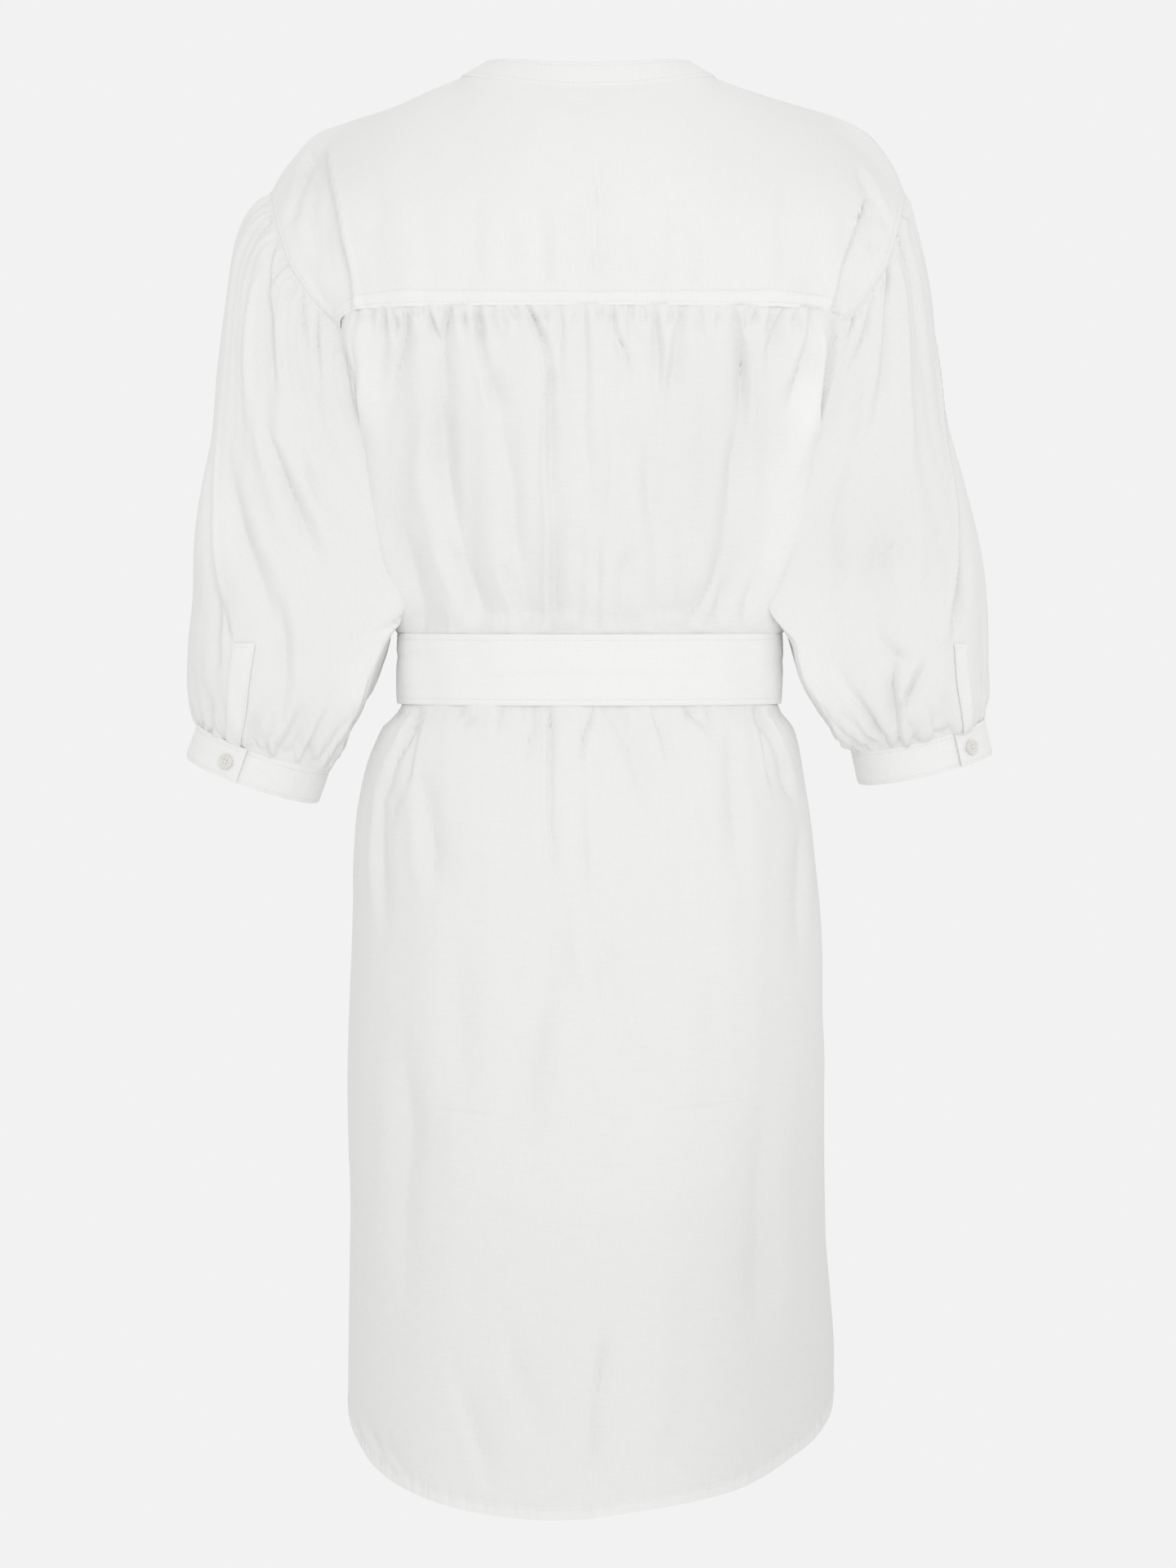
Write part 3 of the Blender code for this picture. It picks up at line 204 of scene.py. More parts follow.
# A crease: its place at three points down its run, its width at both ends, its depth, how far
# the cloth rolls up beside it (more than 0: on the side where places grow), and how much of its
# run it takes to fade in and out. Places and runs are in mm on panels and tails, in degrees and
# rings on sleeves, and in mm and degrees on the belt. The knot has places and widths in degrees.
# Otherwise widths and depths are in mm, and a depth below 0 is a ridge.
Crease = namedtuple("Crease", "at0 run0 at1 run1 at2 run2 width0 width1 depth lean fade0 fade1")
YOKE_CREASES = table(Crease, (
    (-10, -40, -6, -95, -2, -141, 3, 5, 2.8, 0.5, 0.35, 0.15),
    (14, -55, 10, -100, 11, -142, 5, 6, 1.8, 0.3, 0.4, 0.1),
    (35, -62, 33, -100, 30, -142, 6, 6, 1.8, -0.3, 0.5, 0.1),
    (-32, -70, -30, -110, -29, -142, 5, 5, 1.7, 0.4, 0.5, 0.1),
    (-52, -80, -50, -110, -48, -142, 5, 5, 1.4, 0.3, 0.5, 0.1),
    (58, -90, 55, -118, 54, -142, 5, 4, 1.4, 0.3, 0.5, 0.1),
    (82, -70, 78, -105, 76, -142, 8, 7, 1.6, -0.3, 0.5, 0.1),
    (-84, -96, -80, -120, -78, -142, 5, 5, 1.4, 0.3, 0.5, 0.1),
    (-142, -52, -138, -100, -134, -146, 8, 9, 2.4, 0.4, 0.35, 0.3),
    (150, -45, 150, -90, 146, -140, 10, 9, 1.6, -0.3, 0.35, 0.3),
    (118, -80, 114, -112, 112, -143, 8, 7, 1.2, 0.3, 0.5, 0.2),
    (192, -28, 179, -94, 166, -157, 4.2, 4.6, 5.4, -0.75, 0.14, 0.02),
    (198, -30, 207, -62, 215, -96, 3, 3.6, 4.4, 0.4, 0.15, 0.3),
    (196, -34, 198, -84, 192, -130, 3, 5, 3.2, 0.3, 0.15, 0.4),
    (190, -62, 187, -100, 180, -140, 4, 5, 1.8, -0.3, 0.3, 0.3),
    (-192, -43, -203, -66, -215, -100, 3, 4, 3.4, -0.5, 0.2, 0.3),
    (-201, -70, -188, -108, -174, -156, 3.2, 4.5, 5.5, 0.7, 0.15, 0.02),
    (-203, -74, -205, -92, -196, -122, 2.6, 4, 3, -0.5, 0.2, 0.4),
))
BACK_CREASES = table(Crease, (
    (163, -153, 160, -200, 157, -243, 4.5, 5, 3.4, -0.5, 0.4, 0.3),
    (153, -154, 152, -166, 150, -182, 2, 5, 3.2, 0.4, 0.03, 0.8),
    (144, -154, 146, -200, 150, -262, 2.2, 8, 3, 0.3, 0.03, 0.7),
    (137, -154, 136, -168, 134, -186, 2, 4, 3.4, 0.3, 0.03, 0.6),
    (126, -154, 132, -185, 143, -262, 2.2, 8, 3.6, 0.3, 0.03, 0.6),
    (120, -154, 119, -162, 118, -172, 1.6, 3.5, 2.2, 0.4, 0.03, 0.8),
    (114, -154, 106, -175, 101, -200, 2.4, 4, 3.6, -0.3, 0.03, 0.5),
    (97, -154, 101, -187, 102, -225, 2.4, 5, 4.2, 0.3, 0.03, 0.4),
    (103, -196, 99, -292, 74, -380, 5, 15, 6.2, 0.45, 0.25, 0.06),
    (88, -154, 87, -166, 86, -184, 1.8, 4, 3, -0.3, 0.03, 0.8),
    (78, -154, 70, -205, 61, -236, 2.2, 5, 4, 0.35, 0.03, 0.3),
    (63, -222, 53, -296, 40, -380, 5, 13, 4.6, 0.35, 0.3, 0.06),
    (67, -154, 66, -166, 64, -190, 1.8, 5, 2.8, 0.4, 0.03, 0.8),
    (59, -154, 59, -162, 58, -174, 1.4, 3, 2.4, 0.3, 0.03, 0.8),
    (51, -154, 50, -163, 49, -178, 1.6, 4, 2.6, 0.4, 0.03, 0.8),
    (42, -154, 32, -178, 27, -226, 1.8, 2.8, 3.8, 0.5, 0.03, 0.3),
    (28, -200, 25, -290, 24, -380, 2.6, 5.5, 3.4, 0.6, 0.2, 0.05),
    (31, -154, 30, -162, 29, -176, 1.6, 4, 2.2, 0.3, 0.03, 0.8),
    (20, -154, 19, -190, 17, -240, 2.2, 7, 2.4, -0.4, 0.03, 0.7),
    (11, -154, 10, -163, 10, -176, 1.4, 3.5, 2, 0.3, 0.03, 0.8),
    (2, -154, 1, -230, -2, -330, 2.4, 9, 2.2, -0.4, 0.03, 0.6),
    (-7, -154, -8, -162, -8, -172, 1.4, 3.5, 2.2, 0.4, 0.03, 0.8),
    (-17, -154, -18, -172, -19, -196, 1.8, 5, 2.8, -0.4, 0.03, 0.7),
    (-20, -170, -27, -190, -36, -206, 1.8, 3, 2.4, 0.4, 0.3, 0.4),
    (-29, -154, -30, -170, -32, -190, 2, 5, 3, 0.3, 0.03, 0.7),
    (-39, -154, -40, -163, -40, -176, 1.6, 4, 2.4, -0.3, 0.03, 0.8),
    (-47, -154, -50, -205, -46, -290, 2.2, 9, 3.2, -0.4, 0.03, 0.6),
    (-58, -154, -58, -163, -58, -176, 1.6, 4, 2.4, 0.4, 0.03, 0.8),
    (-66, -154, -60, -192, -48, -252, 2.2, 6, 3.2, 0.4, 0.03, 0.5),
    (-79, -154, -79, -166, -78, -186, 1.6, 4.5, 2.6, -0.3, 0.03, 0.8),
    (-91, -154, -91, -164, -90, -180, 1.6, 4, 2.4, 0.4, 0.03, 0.8),
    (-103, -154, -109, -195, -104, -262, 2.4, 5, 4.6, -0.5, 0.03, 0.35),
    (-105, -230, -100, -305, -92, -380, 5, 12, 4, 0.35, 0.25, 0.06),
    (-113, -154, -112, -164, -111, -178, 1.8, 4, 3, 0.3, 0.03, 0.8),
    (-119, -154, -116, -163, -112, -174, 1.6, 3, 2.8, 0.3, 0.03, 0.8),
    (-128, -154, -128, -165, -127, -186, 1.8, 5, 2.8, 0.3, 0.03, 0.8),
    (-137, -154, -130, -178, -124, -200, 2, 5, 3.2, 0.4, 0.03, 0.6),
    (-147, -154, -146, -165, -145, -184, 1.8, 5, 2.6, -0.3, 0.03, 0.8),
    (-157, -154, -148, -195, -138, -240, 2.2, 7, 3.8, 0.45, 0.03, 0.5),
    (-167, -153, -163, -205, -155, -272, 4, 4, 3.4, 0.5, 0.4, 0.3),
    (-150, -200, -146, -250, -128, -310, 5, 9, -3, 0, 0.4, 0.5),
    (128, -300, 124, -345, 116, -380, 5, 9, 3.2, 0.3, 0.5, 0.06),
    (4, -300, 6, -345, 8, -380, 5, 8, 1.8, -0.3, 0.5, 0.06),
    (-30, -310, -26, -345, -20, -380, 6, 9, 2.6, 0.3, 0.5, 0.06),
    (-66, -320, -62, -350, -60, -380, 5, 8, 2, -0.3, 0.5, 0.06),
    (-120, -330, -117, -356, -114, -380, 4, 7, 2.4, 0.3, 0.5, 0.06),
    (27, -433, 26, -500, 23, -574, 2.8, 3, 3.2, 0.5, 0.03, 0.3),
    (104, -300, 92, -345, 74, -380, 5, 6, 3.2, 0.4, 0.4, 0.06),
    (64, -330, 51, -358, 43, -380, 4, 5, 3, 0.4, 0.4, 0.06),
    (26, -300, 25, -345, 26, -380, 3, 3, 1.6, 0.4, 0.4, 0.06),
    (-7, -310, -7, -350, -8, -380, 3, 3, 1.6, -0.4, 0.4, 0.06),
    (-96, -320, -86, -352, -66, -380, 5, 6, 3.2, -0.4, 0.4, 0.06),
    (-40, -225, -46, -310, -52, -380, 6, 12, 4.2, 0.4, 0.35, 0.06),
    (-14, -190, -15, -270, -12, -350, 6, 8, -2.2, 0, 0.4, 0.4),
    (-5, -433, 4, -458, 5, -486, 2.4, 3, 2.2, -0.5, 0.03, 0.3),
    (5, -470, 4, -530, -1, -590, 3.6, 4, 1.5, -0.5, 0.3, 0.4),
    (-13, -433, -34, -478, -54, -525, 4, 8, 3.6, 0.3, 0.03, 0.5),
    (14, -560, 8, -590, 4, -640, 5, 9, -2.4, 0, 0.4, 0.6),
    (2, -580, -18, -640, -38, -745, 8, 13, 4.4, 0.4, 0.3, 0.5),
    (10, -570, 34, -650, 52, -740, 9, 15, 4, -0.3, 0.3, 0.5),
    (119, -474, 115, -512, 102, -572, 6, 8, 6.5, 0.4, 0.25, 0.45),
    (-103, -446, -104, -505, -107, -566, 5, 8, 5, -0.3, 0.15, 0.5),
    (92, -432, 84, -442, 70, -452, 4, 5, 2.6, 0.5, 0.03, 0.6),
    (60, -432, 63, -444, 68, -460, 3, 5, 2, 0.3, 0.03, 0.7),
    (38, -432, 41, -450, 46, -480, 2.6, 4, 2.6, 0.4, 0.03, 0.6),
    (-22, -432, -24, -446, -28, -466, 2.4, 4, 1.8, 0.3, 0.03, 0.7),
    (-45, -432, -52, -455, -62, -488, 2.6, 5, 3, 0.5, 0.03, 0.5),
    (-66, -432, -76, -442, -92, -454, 3, 4, 2.8, 0.5, 0.03, 0.5),
    (-84, -432, -86, -446, -90, -462, 2.6, 4, 2, -0.3, 0.03, 0.7),
    (120, -433, 131, -454, 147, -500, 2.2, 3.6, 4.6, 0.4, 0.04, 0.25),
    (120, -435, 123, -458, 129, -494, 2, 3, 3.2, -0.4, 0.04, 0.3),
    (127, -486, 134, -500, 142, -514, 3, 3, 2.4, 0, 0.4, 0.3),
    (146, -470, 148, -545, 142, -610, 3, 4.5, 4, 0.5, 0.3, 0.5),
    (-120, -433, -131, -453, -147, -502, 2.2, 3.6, 4.6, -0.4, 0.04, 0.25),
    (-120, -435, -124, -456, -132, -492, 2, 3, 3.2, 0.4, 0.04, 0.3),
    (-150, -500, -152, -560, -148, -640, 3, 5, 3.4, -0.4, 0.4, 0.5),
    (-14, -860, -6, -915, -3, -975, 3, 3.4, 3, 0.5, 0.3, 0.3),
    (124, -640, 131, -760, 128, -890, 9, 13, 5, 0.3, 0.4, 0.4),
    (84, -560, 90, -640, 88, -740, 10, 14, 3.6, 0, 0.5, 0.5),
    (-118, -700, -124, -800, -120, -900, 9, 13, 5.5, -0.3, 0.4, 0.35),
    (-84, -590, -90, -660, -96, -760, 10, 15, 3.4, 0, 0.5, 0.5),
    (64, -850, 48, -900, 30, -960, 7, 9, 3.4, 0.4, 0.5, 0.3),
    (98, -880, 84, -930, 66, -985, 5, 7, 3.2, 0.4, 0.4, 0.2),
    (-58, -820, -62, -900, -58, -978, 8, 10, 3, 0, 0.5, 0.2),
    (160, -934, 154, -948, 145, -964, 2.6, 3, 1.5, 0.4, 0.3, 0.1),
    (146, -946, 137, -960, 126, -976, 2.6, 3, 1.3, 0.4, 0.3, 0.1),
))
FRONT_CREASES = table(Crease, (
    (62, -110, 74, -180, 70, -260, 10, 12, 2.2, 0.3, 0.4, 0.5),
    (118, -120, 112, -190, 108, -262, 9, 12, 3, -0.3, 0.4, 0.4),
    (70, -250, 62, -320, 50, -380, 8, 10, 4.2, 0.4, 0.35, 0.06),
    (36, -280, 34, -335, 30, -380, 6, 7, 2.6, 0.3, 0.4, 0.06),
    (106, -262, 98, -325, 88, -380, 7, 11, 3.8, 0.4, 0.35, 0.06),
    (130, -290, 124, -340, 114, -380, 6, 8, 3, 0.3, 0.4, 0.06),
    (60, -432, 68, -490, 76, -566, 5, 10, 4, 0.4, 0.05, 0.5),
    (38, -432, 42, -470, 46, -510, 4, 7, 2.6, -0.3, 0.05, 0.6),
    (84, -432, 90, -458, 96, -490, 3, 6, 2.6, 0.3, 0.05, 0.6),
    (106, -432, 110, -510, 112, -606, 5, 12, 4.4, 0.4, 0.05, 0.5),
    (126, -434, 136, -474, 142, -520, 3, 5, 3, 0.3, 0.05, 0.5),
    (-58, -110, -70, -180, -68, -250, 10, 12, 2, -0.3, 0.4, 0.5),
    (-120, -118, -114, -185, -110, -258, 9, 12, 3, 0.3, 0.4, 0.4),
    (-66, -255, -58, -320, -48, -380, 8, 10, 4.2, -0.4, 0.35, 0.06),
    (-34, -290, -33, -340, -30, -380, 6, 7, 2.4, -0.3, 0.4, 0.06),
    (-104, -268, -98, -330, -90, -380, 7, 11, 3.6, -0.4, 0.35, 0.06),
    (-128, -295, -122, -342, -114, -380, 6, 8, 2.8, -0.3, 0.4, 0.06),
    (-64, -432, -72, -495, -80, -566, 5, 10, 4, -0.4, 0.05, 0.5),
    (-40, -432, -43, -465, -47, -500, 4, 7, 2.4, 0.3, 0.05, 0.6),
    (-88, -432, -92, -460, -98, -492, 3, 6, 2.4, -0.3, 0.05, 0.6),
    (-108, -432, -112, -515, -114, -610, 5, 12, 4.4, -0.4, 0.05, 0.5),
    (-126, -434, -135, -472, -141, -516, 3, 5, 3, -0.3, 0.05, 0.5),
    (88, -640, 94, -760, 92, -880, 18, 24, 2.4, 0, 0.5, 0.5),
    (-92, -650, -96, -760, -92, -870, 18, 24, 2.4, 0, 0.5, 0.5),
))
SLEEVE_CREASES = {
    LEFT: table(Crease, (
        (6, 0, 13, 1.5, 16, 3, 2, 4, 2.2, 0.4, 0.03, 0.7),
        (22, 0, 30, 1.1, 34, 2.1, 2, 3, 2, -0.4, 0.03, 0.7),
        (38, 0, 66, 1.8, 80, 4.5, 3.4, 7, 3.6, 0.4, 0.03, 0.4),
        (49, 0.3, 53, 2.9, 60, 5.2, 2.6, 6, -2.6, 0, 0.3, 0.4),
        (72, 0.4, 80, 3, 88, 5.4, 4, 7, -2.4, 0, 0.3, 0.4),
        (58, 0, 62, 1, 64, 1.9, 1.8, 3, 2.2, 0.4, 0.03, 0.7),
        (80, 0, 92, 1, 98, 2.4, 2, 4, 2.4, -0.4, 0.03, 0.6),
        (97, 0, 106, 1.6, 112, 3.6, 2, 4, 2.6, 0.5, 0.03, 0.6),
        (120, 0.1, 133, 1.2, 141, 2.4, 2, 4, 2.2, 0.4, 0.05, 0.6),
        (138, 0.4, 150, 3, 158, 5.6, 3, 5, 2.2, 0.3, 0.2, 0.5),
        (66, 4.1, 92, 5.2, 110, 7.5, 4, 4.5, 5, 0.5, 0.25, 0.35),
        (36, 5, 67, 6.8, 84, 9, 8, 11, 6.5, 0.3, 0.35, 0.3),
        (84, 7.6, 93, 9.8, 102, 12, 6, 4, 4.6, 0.5, 0.3, 0.3),
        (56, 3.6, 74, 5, 96, 7, 7, 8, -3, 0, 0.4, 0.4),
        (100, 4.1, 113, 5.7, 123, 6.8, 2.6, 3.4, 2.8, -0.4, 0.35, 0.4),
        (18, 4.6, 38, 7.1, 50, 10, 4, 4.5, 6, 0.6, 0.3, 0.3),
        (46, 7.8, 53, 8.5, 61, 9.1, 3, 3, 2.8, 0.4, 0.3, 0.4),
        (134, 8.9, 141, 8.6, 158, 8.2, 4, 5, 2.6, 0, 0.4, 0.3),
        (40, 9.8, 42, 11.6, 44, 13, 7, 2.6, 4.2, 0.4, 0.7, 0.02),
        (79, 10.4, 80, 11.6, 83, 13, 5, 2.6, 3.8, -0.5, 0.6, 0.02),
        (93, 11.2, 93, 12.1, 94, 13, 3.5, 2, 3, 0.5, 0.6, 0.02),
        (110, 10.6, 106, 11.9, 104, 13, 5, 2.6, 3.8, -0.4, 0.6, 0.02),
        (119, 10.8, 116, 12, 114, 13, 5, 2.4, 3.6, 0.3, 0.7, 0.02),
        (132, 10.2, 128, 11.8, 126, 13, 6, 2.6, 3.8, -0.3, 0.7, 0.02),
        (148, 10.8, 144, 12, 141, 13, 5, 2.4, 3.2, 0.3, 0.7, 0.02),
        (164, 11, 162, 12, 160, 13, 4, 2.2, 2.6, 0.3, 0.7, 0.02),
        (180, 11, 180, 12, 180, 13, 4, 2.2, 2.4, 0.3, 0.7, 0.02),
        (26, 11, 27, 12, 28, 13, 5, 2.4, 3.2, 0.3, 0.7, 0.02),
        (12, 10.4, 12, 11.8, 13, 13, 6, 2.4, 3.4, -0.3, 0.7, 0.02),
        (358, 10.8, 358, 12, 358, 13, 5, 2.4, 3, 0.3, 0.7, 0.02),
        (343, 10, 343, 11.8, 343, 13, 7, 2.6, 3.6, 0.4, 0.7, 0.02),
        (327, 10.8, 328, 12, 328, 13, 5, 2.4, 3.2, 0.3, 0.7, 0.02),
        (311, 10, 312, 11.8, 313, 13, 7, 2.6, 3.8, -0.4, 0.7, 0.02),
        (296, 10.8, 297, 12, 298, 13, 5, 2.4, 3.2, 0.3, 0.7, 0.02),
        (280, 10.2, 282, 11.8, 283, 13, 6, 2.6, 3.6, 0.4, 0.7, 0.02),
        (264, 10.8, 266, 12, 267, 13, 5, 2.4, 3.2, 0.3, 0.7, 0.02),
        (248, 10.2, 250, 11.8, 251, 13, 6, 2.6, 3.6, -0.4, 0.7, 0.02),
        (230, 10.8, 232, 12, 234, 13, 5, 2.4, 3, 0.3, 0.7, 0.02),
        (212, 10.8, 214, 12, 215, 13, 5, 2.4, 2.8, 0.3, 0.7, 0.02),
        (352, 0, 350, 1.4, 349, 2.8, 2, 5, 3, 0.3, 0.03, 0.7),
        (338, 0, 335, 2.4, 332, 5, 2.2, 8, 3.8, -0.4, 0.03, 0.5),
        (324, 0, 321, 1.4, 319, 2.8, 2, 5, 3, 0.3, 0.03, 0.7),
        (310, 0, 305, 3, 298, 6, 2.4, 9, 4, -0.4, 0.03, 0.5),
        (295, 0, 291, 1.6, 288, 3.2, 2, 5, 3, 0.3, 0.03, 0.7),
        (281, 0, 274, 2.6, 266, 5.2, 2.4, 8, 3.6, -0.4, 0.03, 0.5),
        (266, 0, 258, 1.8, 252, 3.6, 2, 6, 3, 0.3, 0.03, 0.7),
        (328, 5.6, 312, 8.2, 296, 10.6, 6, 7, 4.6, -0.4, 0.35, 0.3),
        (286, 5, 276, 6.6, 266, 8.4, 5, 7, 3, -0.4, 0.4, 0.5),
    )),
    RIGHT: table(Crease, (
        (6, 0, 7, 1.6, 9, 3.2, 2, 4, 2.4, 0.4, 0.03, 0.7),
        (20, 0, 21, 1, 23, 2, 1.8, 3, 2, -0.4, 0.03, 0.7),
        (33, 0, 44, 2.7, 57, 4.4, 2.2, 5, 3, 0.5, 0.03, 0.5),
        (54, 0, 66, 1.2, 74, 2, 1.8, 3, 2, -0.4, 0.03, 0.7),
        (60, 0.2, 84, 2.9, 108, 4.6, 4.2, 7, 3.8, 0.4, 0.1, 0.4),
        (80, 0.3, 98, 1.4, 113, 2.2, 3.6, 5.5, 2.4, 0.4, 0.15, 0.45),
        (48, 0.4, 62, 3, 74, 5.6, 4, 7, -2.4, 0, 0.3, 0.4),
        (92, 1.6, 108, 4.2, 124, 6.6, 5, 7, -2.2, 0, 0.4, 0.4),
        (96, 0, 106, 0.8, 114, 1.5, 1.8, 3, 2, 0.4, 0.03, 0.7),
        (112, 0, 128, 1.7, 140, 3.6, 2, 4, 2.6, -0.5, 0.03, 0.6),
        (138, 0.4, 149, 3, 158, 6, 3, 5, 2.2, 0.3, 0.2, 0.5),
        (6, 2.9, 25, 5.4, 55, 9.2, 4, 5, 7.5, 0.6, 0.2, 0.25),
        (35, 6.2, 41, 7.5, 49, 9, 2.2, 2.8, 3, -0.4, 0.3, 0.3),
        (2, 6.4, 8, 8.6, 16, 10.8, 4, 6, 4, 0.4, 0.3, 0.3),
        (94, 5.6, 100, 8.4, 92, 10.4, 8, 9, 5.5, 0.3, 0.35, 0.35),
        (120, 3.6, 122, 6.4, 118, 9, 7, 9, 3.6, -0.3, 0.4, 0.4),
        (64, 3.2, 70, 5.8, 74, 8.6, 7, 9, -3.2, 0, 0.4, 0.4),
        (128, 9.4, 122, 11, 120, 12.6, 5, 3.6, 3.8, 0.4, 0.3, 0.2),
        (158, 7.3, 156, 8.2, 150, 9.2, 4, 5, 3.4, -0.3, 0.3, 0.4),
        (98, 8.8, 90, 9.2, 80, 9.6, 3, 3, 2.6, 0.3, 0.3, 0.4),
        (69, 9.2, 79, 10, 95, 11.6, 3, 3, 3.8, 0.5, 0.3, 0.3),
        (82, 6.6, 92, 6.8, 99, 7, 2.4, 2.4, 1.2, 0.4, 0.4, 0.4),
        (24, 9.4, 26, 11.4, 28, 13, 5, 2.6, 4, 0.4, 0.6, 0.02),
        (60, 9.8, 62, 11.6, 64, 13, 7, 2.6, 4.2, -0.4, 0.7, 0.02),
        (72, 10.8, 75, 12, 79, 13, 4, 2.4, 3.8, 0.4, 0.5, 0.02),
        (88, 9, 99, 11.2, 107, 13, 3, 2.6, 4.8, -0.5, 0.35, 0.02),
        (92, 10.9, 93, 12, 95, 13, 3.5, 2.2, 3.4, 0.3, 0.6, 0.02),
        (122, 10.2, 119, 11.8, 117, 13, 6, 2.6, 4, -0.3, 0.7, 0.02),
        (136, 10.8, 132, 12, 129, 13, 5, 2.4, 3.4, 0.3, 0.7, 0.02),
        (150, 10.6, 146, 12, 143, 13, 5, 2.4, 3.2, 0.3, 0.7, 0.02),
        (166, 11, 163, 12, 161, 13, 4, 2.2, 2.6, 0.3, 0.7, 0.02),
        (182, 11, 182, 12, 182, 13, 4, 2.2, 2.4, 0.3, 0.7, 0.02),
        (12, 10.8, 12, 12, 13, 13, 5, 2.4, 3.2, 0.3, 0.7, 0.02),
        (357, 10.2, 357, 11.8, 357, 13, 6, 2.6, 3.4, -0.3, 0.7, 0.02),
        (342, 10.8, 342, 12, 342, 13, 5, 2.4, 3, 0.3, 0.7, 0.02),
        (326, 10, 327, 11.8, 327, 13, 7, 2.6, 3.6, 0.4, 0.7, 0.02),
        (310, 10.8, 311, 12, 312, 13, 5, 2.4, 3.2, 0.3, 0.7, 0.02),
        (294, 10, 296, 11.8, 297, 13, 7, 2.6, 3.8, -0.4, 0.7, 0.02),
        (279, 10.8, 281, 12, 282, 13, 5, 2.4, 3.2, 0.3, 0.7, 0.02),
        (263, 10.2, 265, 11.8, 266, 13, 6, 2.6, 3.6, 0.4, 0.7, 0.02),
        (246, 10.8, 248, 12, 250, 13, 5, 2.4, 3.2, 0.3, 0.7, 0.02),
        (229, 10.8, 231, 12, 233, 13, 5, 2.4, 3, 0.3, 0.7, 0.02),
        (212, 10.8, 213, 12, 215, 13, 5, 2.4, 2.8, 0.3, 0.7, 0.02),
        (353, 0, 351, 1.4, 350, 2.8, 2, 5, 3, 0.3, 0.03, 0.7),
        (339, 0, 336, 2.6, 333, 5.4, 2.2, 8, 3.8, -0.4, 0.03, 0.5),
        (325, 0, 322, 1.4, 320, 2.8, 2, 5, 3, 0.3, 0.03, 0.7),
        (311, 0, 306, 3, 300, 6.2, 2.4, 9, 4, -0.4, 0.03, 0.5),
        (296, 0, 292, 1.6, 289, 3.2, 2, 5, 3, 0.3, 0.03, 0.7),
        (282, 0, 275, 2.6, 267, 5.2, 2.4, 8, 3.6, -0.4, 0.03, 0.5),
        (267, 0, 259, 1.8, 253, 3.6, 2, 6, 3, 0.3, 0.03, 0.7),
        (326, 5.8, 312, 8.4, 298, 10.8, 6, 7, 4.6, -0.4, 0.35, 0.3),
        (284, 5, 275, 6.6, 266, 8.4, 5, 7, 3, -0.4, 0.4, 0.5),
    )),
}

# How far in the sleeves reach where they lie against the body
Touch = namedtuple("Touch", "z x")
TOUCH = table(Touch, (
    (-0.175, 0.1650),
    (-0.210, 0.1620),
    (-0.245, 0.1560),
    (-0.277, 0.1485),
    (-0.302, 0.1435),
    (-0.335, 0.1390),
    (-0.357, 0.1350),
    (-0.378, 0.1340),
))
BELT_CREASES = table(Crease, (
    (-10, -60, -4, 10, -9, 66, 3, 3.5, 0.7, 0.5, 0.4, 0.4),
    (10, -74, 5, -30, 8, 20, 2.5, 3, 0.5, -0.4, 0.4, 0.5),
    (-16, 10, -12, 48, -15, 86, 3, 3, 0.6, 0.4, 0.4, 0.3),
    (14, 40, 9, 80, 12, 118, 3, 3, 0.7, 0.4, 0.4, 0.4),
    (-6, 96, -2, 130, -8, 168, 3, 3, 0.8, 0.4, 0.4, 0.4),
    (12, -120, 6, -92, 11, -64, 3, 3, 0.8, 0.4, 0.4, 0.4),
    (-12, -168, -5, -136, -9, -100, 3, 3, 0.8, -0.4, 0.4, 0.4),
))


def ease(share):
    """Rise softly from 0 to 1 as share does."""
    share = np.clip(share, 0.0, 1.0)
    return share * share * (3 - 2 * share)


def mix(a, b, share):
    return a + (b - a) * share


def unit(ways):
    return ways / np.maximum(np.linalg.norm(ways, axis=-1, keepdims=True), 1e-12)


def bell(off, width):
    """1 in the middle of a place, and nearly 0 from two widths off."""
    return np.exp(-(off / width) ** 2)


def side_of(across):
    return np.where(across >= 0, 1.0, -1.0)


def nearest(values, to):
    """The number of the value that comes nearest."""
    return int(np.argmin(np.abs(values - to)))


def between(places, knots, points):
    """Points on a line of them, at places between its knots."""
    return np.stack([np.interp(places, knots, points[:, k]) for k in range(3)], axis=-1)


def curved(start, way_out, end, way_in, t):
    """A soft curve from start to end that sets out and arrives in given ways."""
    return (start * (2 * t ** 3 - 3 * t * t + 1) + way_out * (t ** 3 - 2 * t * t + t)
            + end * (3 * t * t - 2 * t ** 3) + way_in * (t ** 3 - t * t))


def smooth(knots, values, at):
    """Values between knots, on a smooth curve with no overshoot."""
    knots, values = np.array(knots, float), np.array(values, float)
    slope = np.diff(values) / np.diff(knots)
    before, after = slope[:-1], slope[1:]
    same = before * after > 0
    bend = np.where(same, 2 * before * after / np.where(same, before + after, 1.0), 0.0)
    bend = np.concatenate((slope[:1], bend, slope[-1:]))
    at = np.clip(at, knots[0], knots[-1])
    i = np.clip(np.searchsorted(knots, at, side="right") - 1, 0, len(knots) - 2)
    span = knots[i + 1] - knots[i]
    t = (at - knots[i]) / span
    return curved(values[i], bend[i] * span, values[i + 1], bend[i + 1] * span, t)


def along(rows, key, field, at):
    """A field of a table at any place between its rows."""
    knots = sorted((getattr(row, key), getattr(row, field)) for row in rows)
    return smooth([k[0] for k in knots], [k[1] for k in knots], at)


def sided(rows, key, across, at):
    """The left or the right column of a table, by the side that a place is on."""
    return np.where(across >= 0, along(rows, key, "left", at), along(rows, key, "right", at))


def pointed(x, y, z):
    x, y, z = np.broadcast_arrays(x, y, z)
    return np.stack((x, y, z), axis=-1).astype(float)


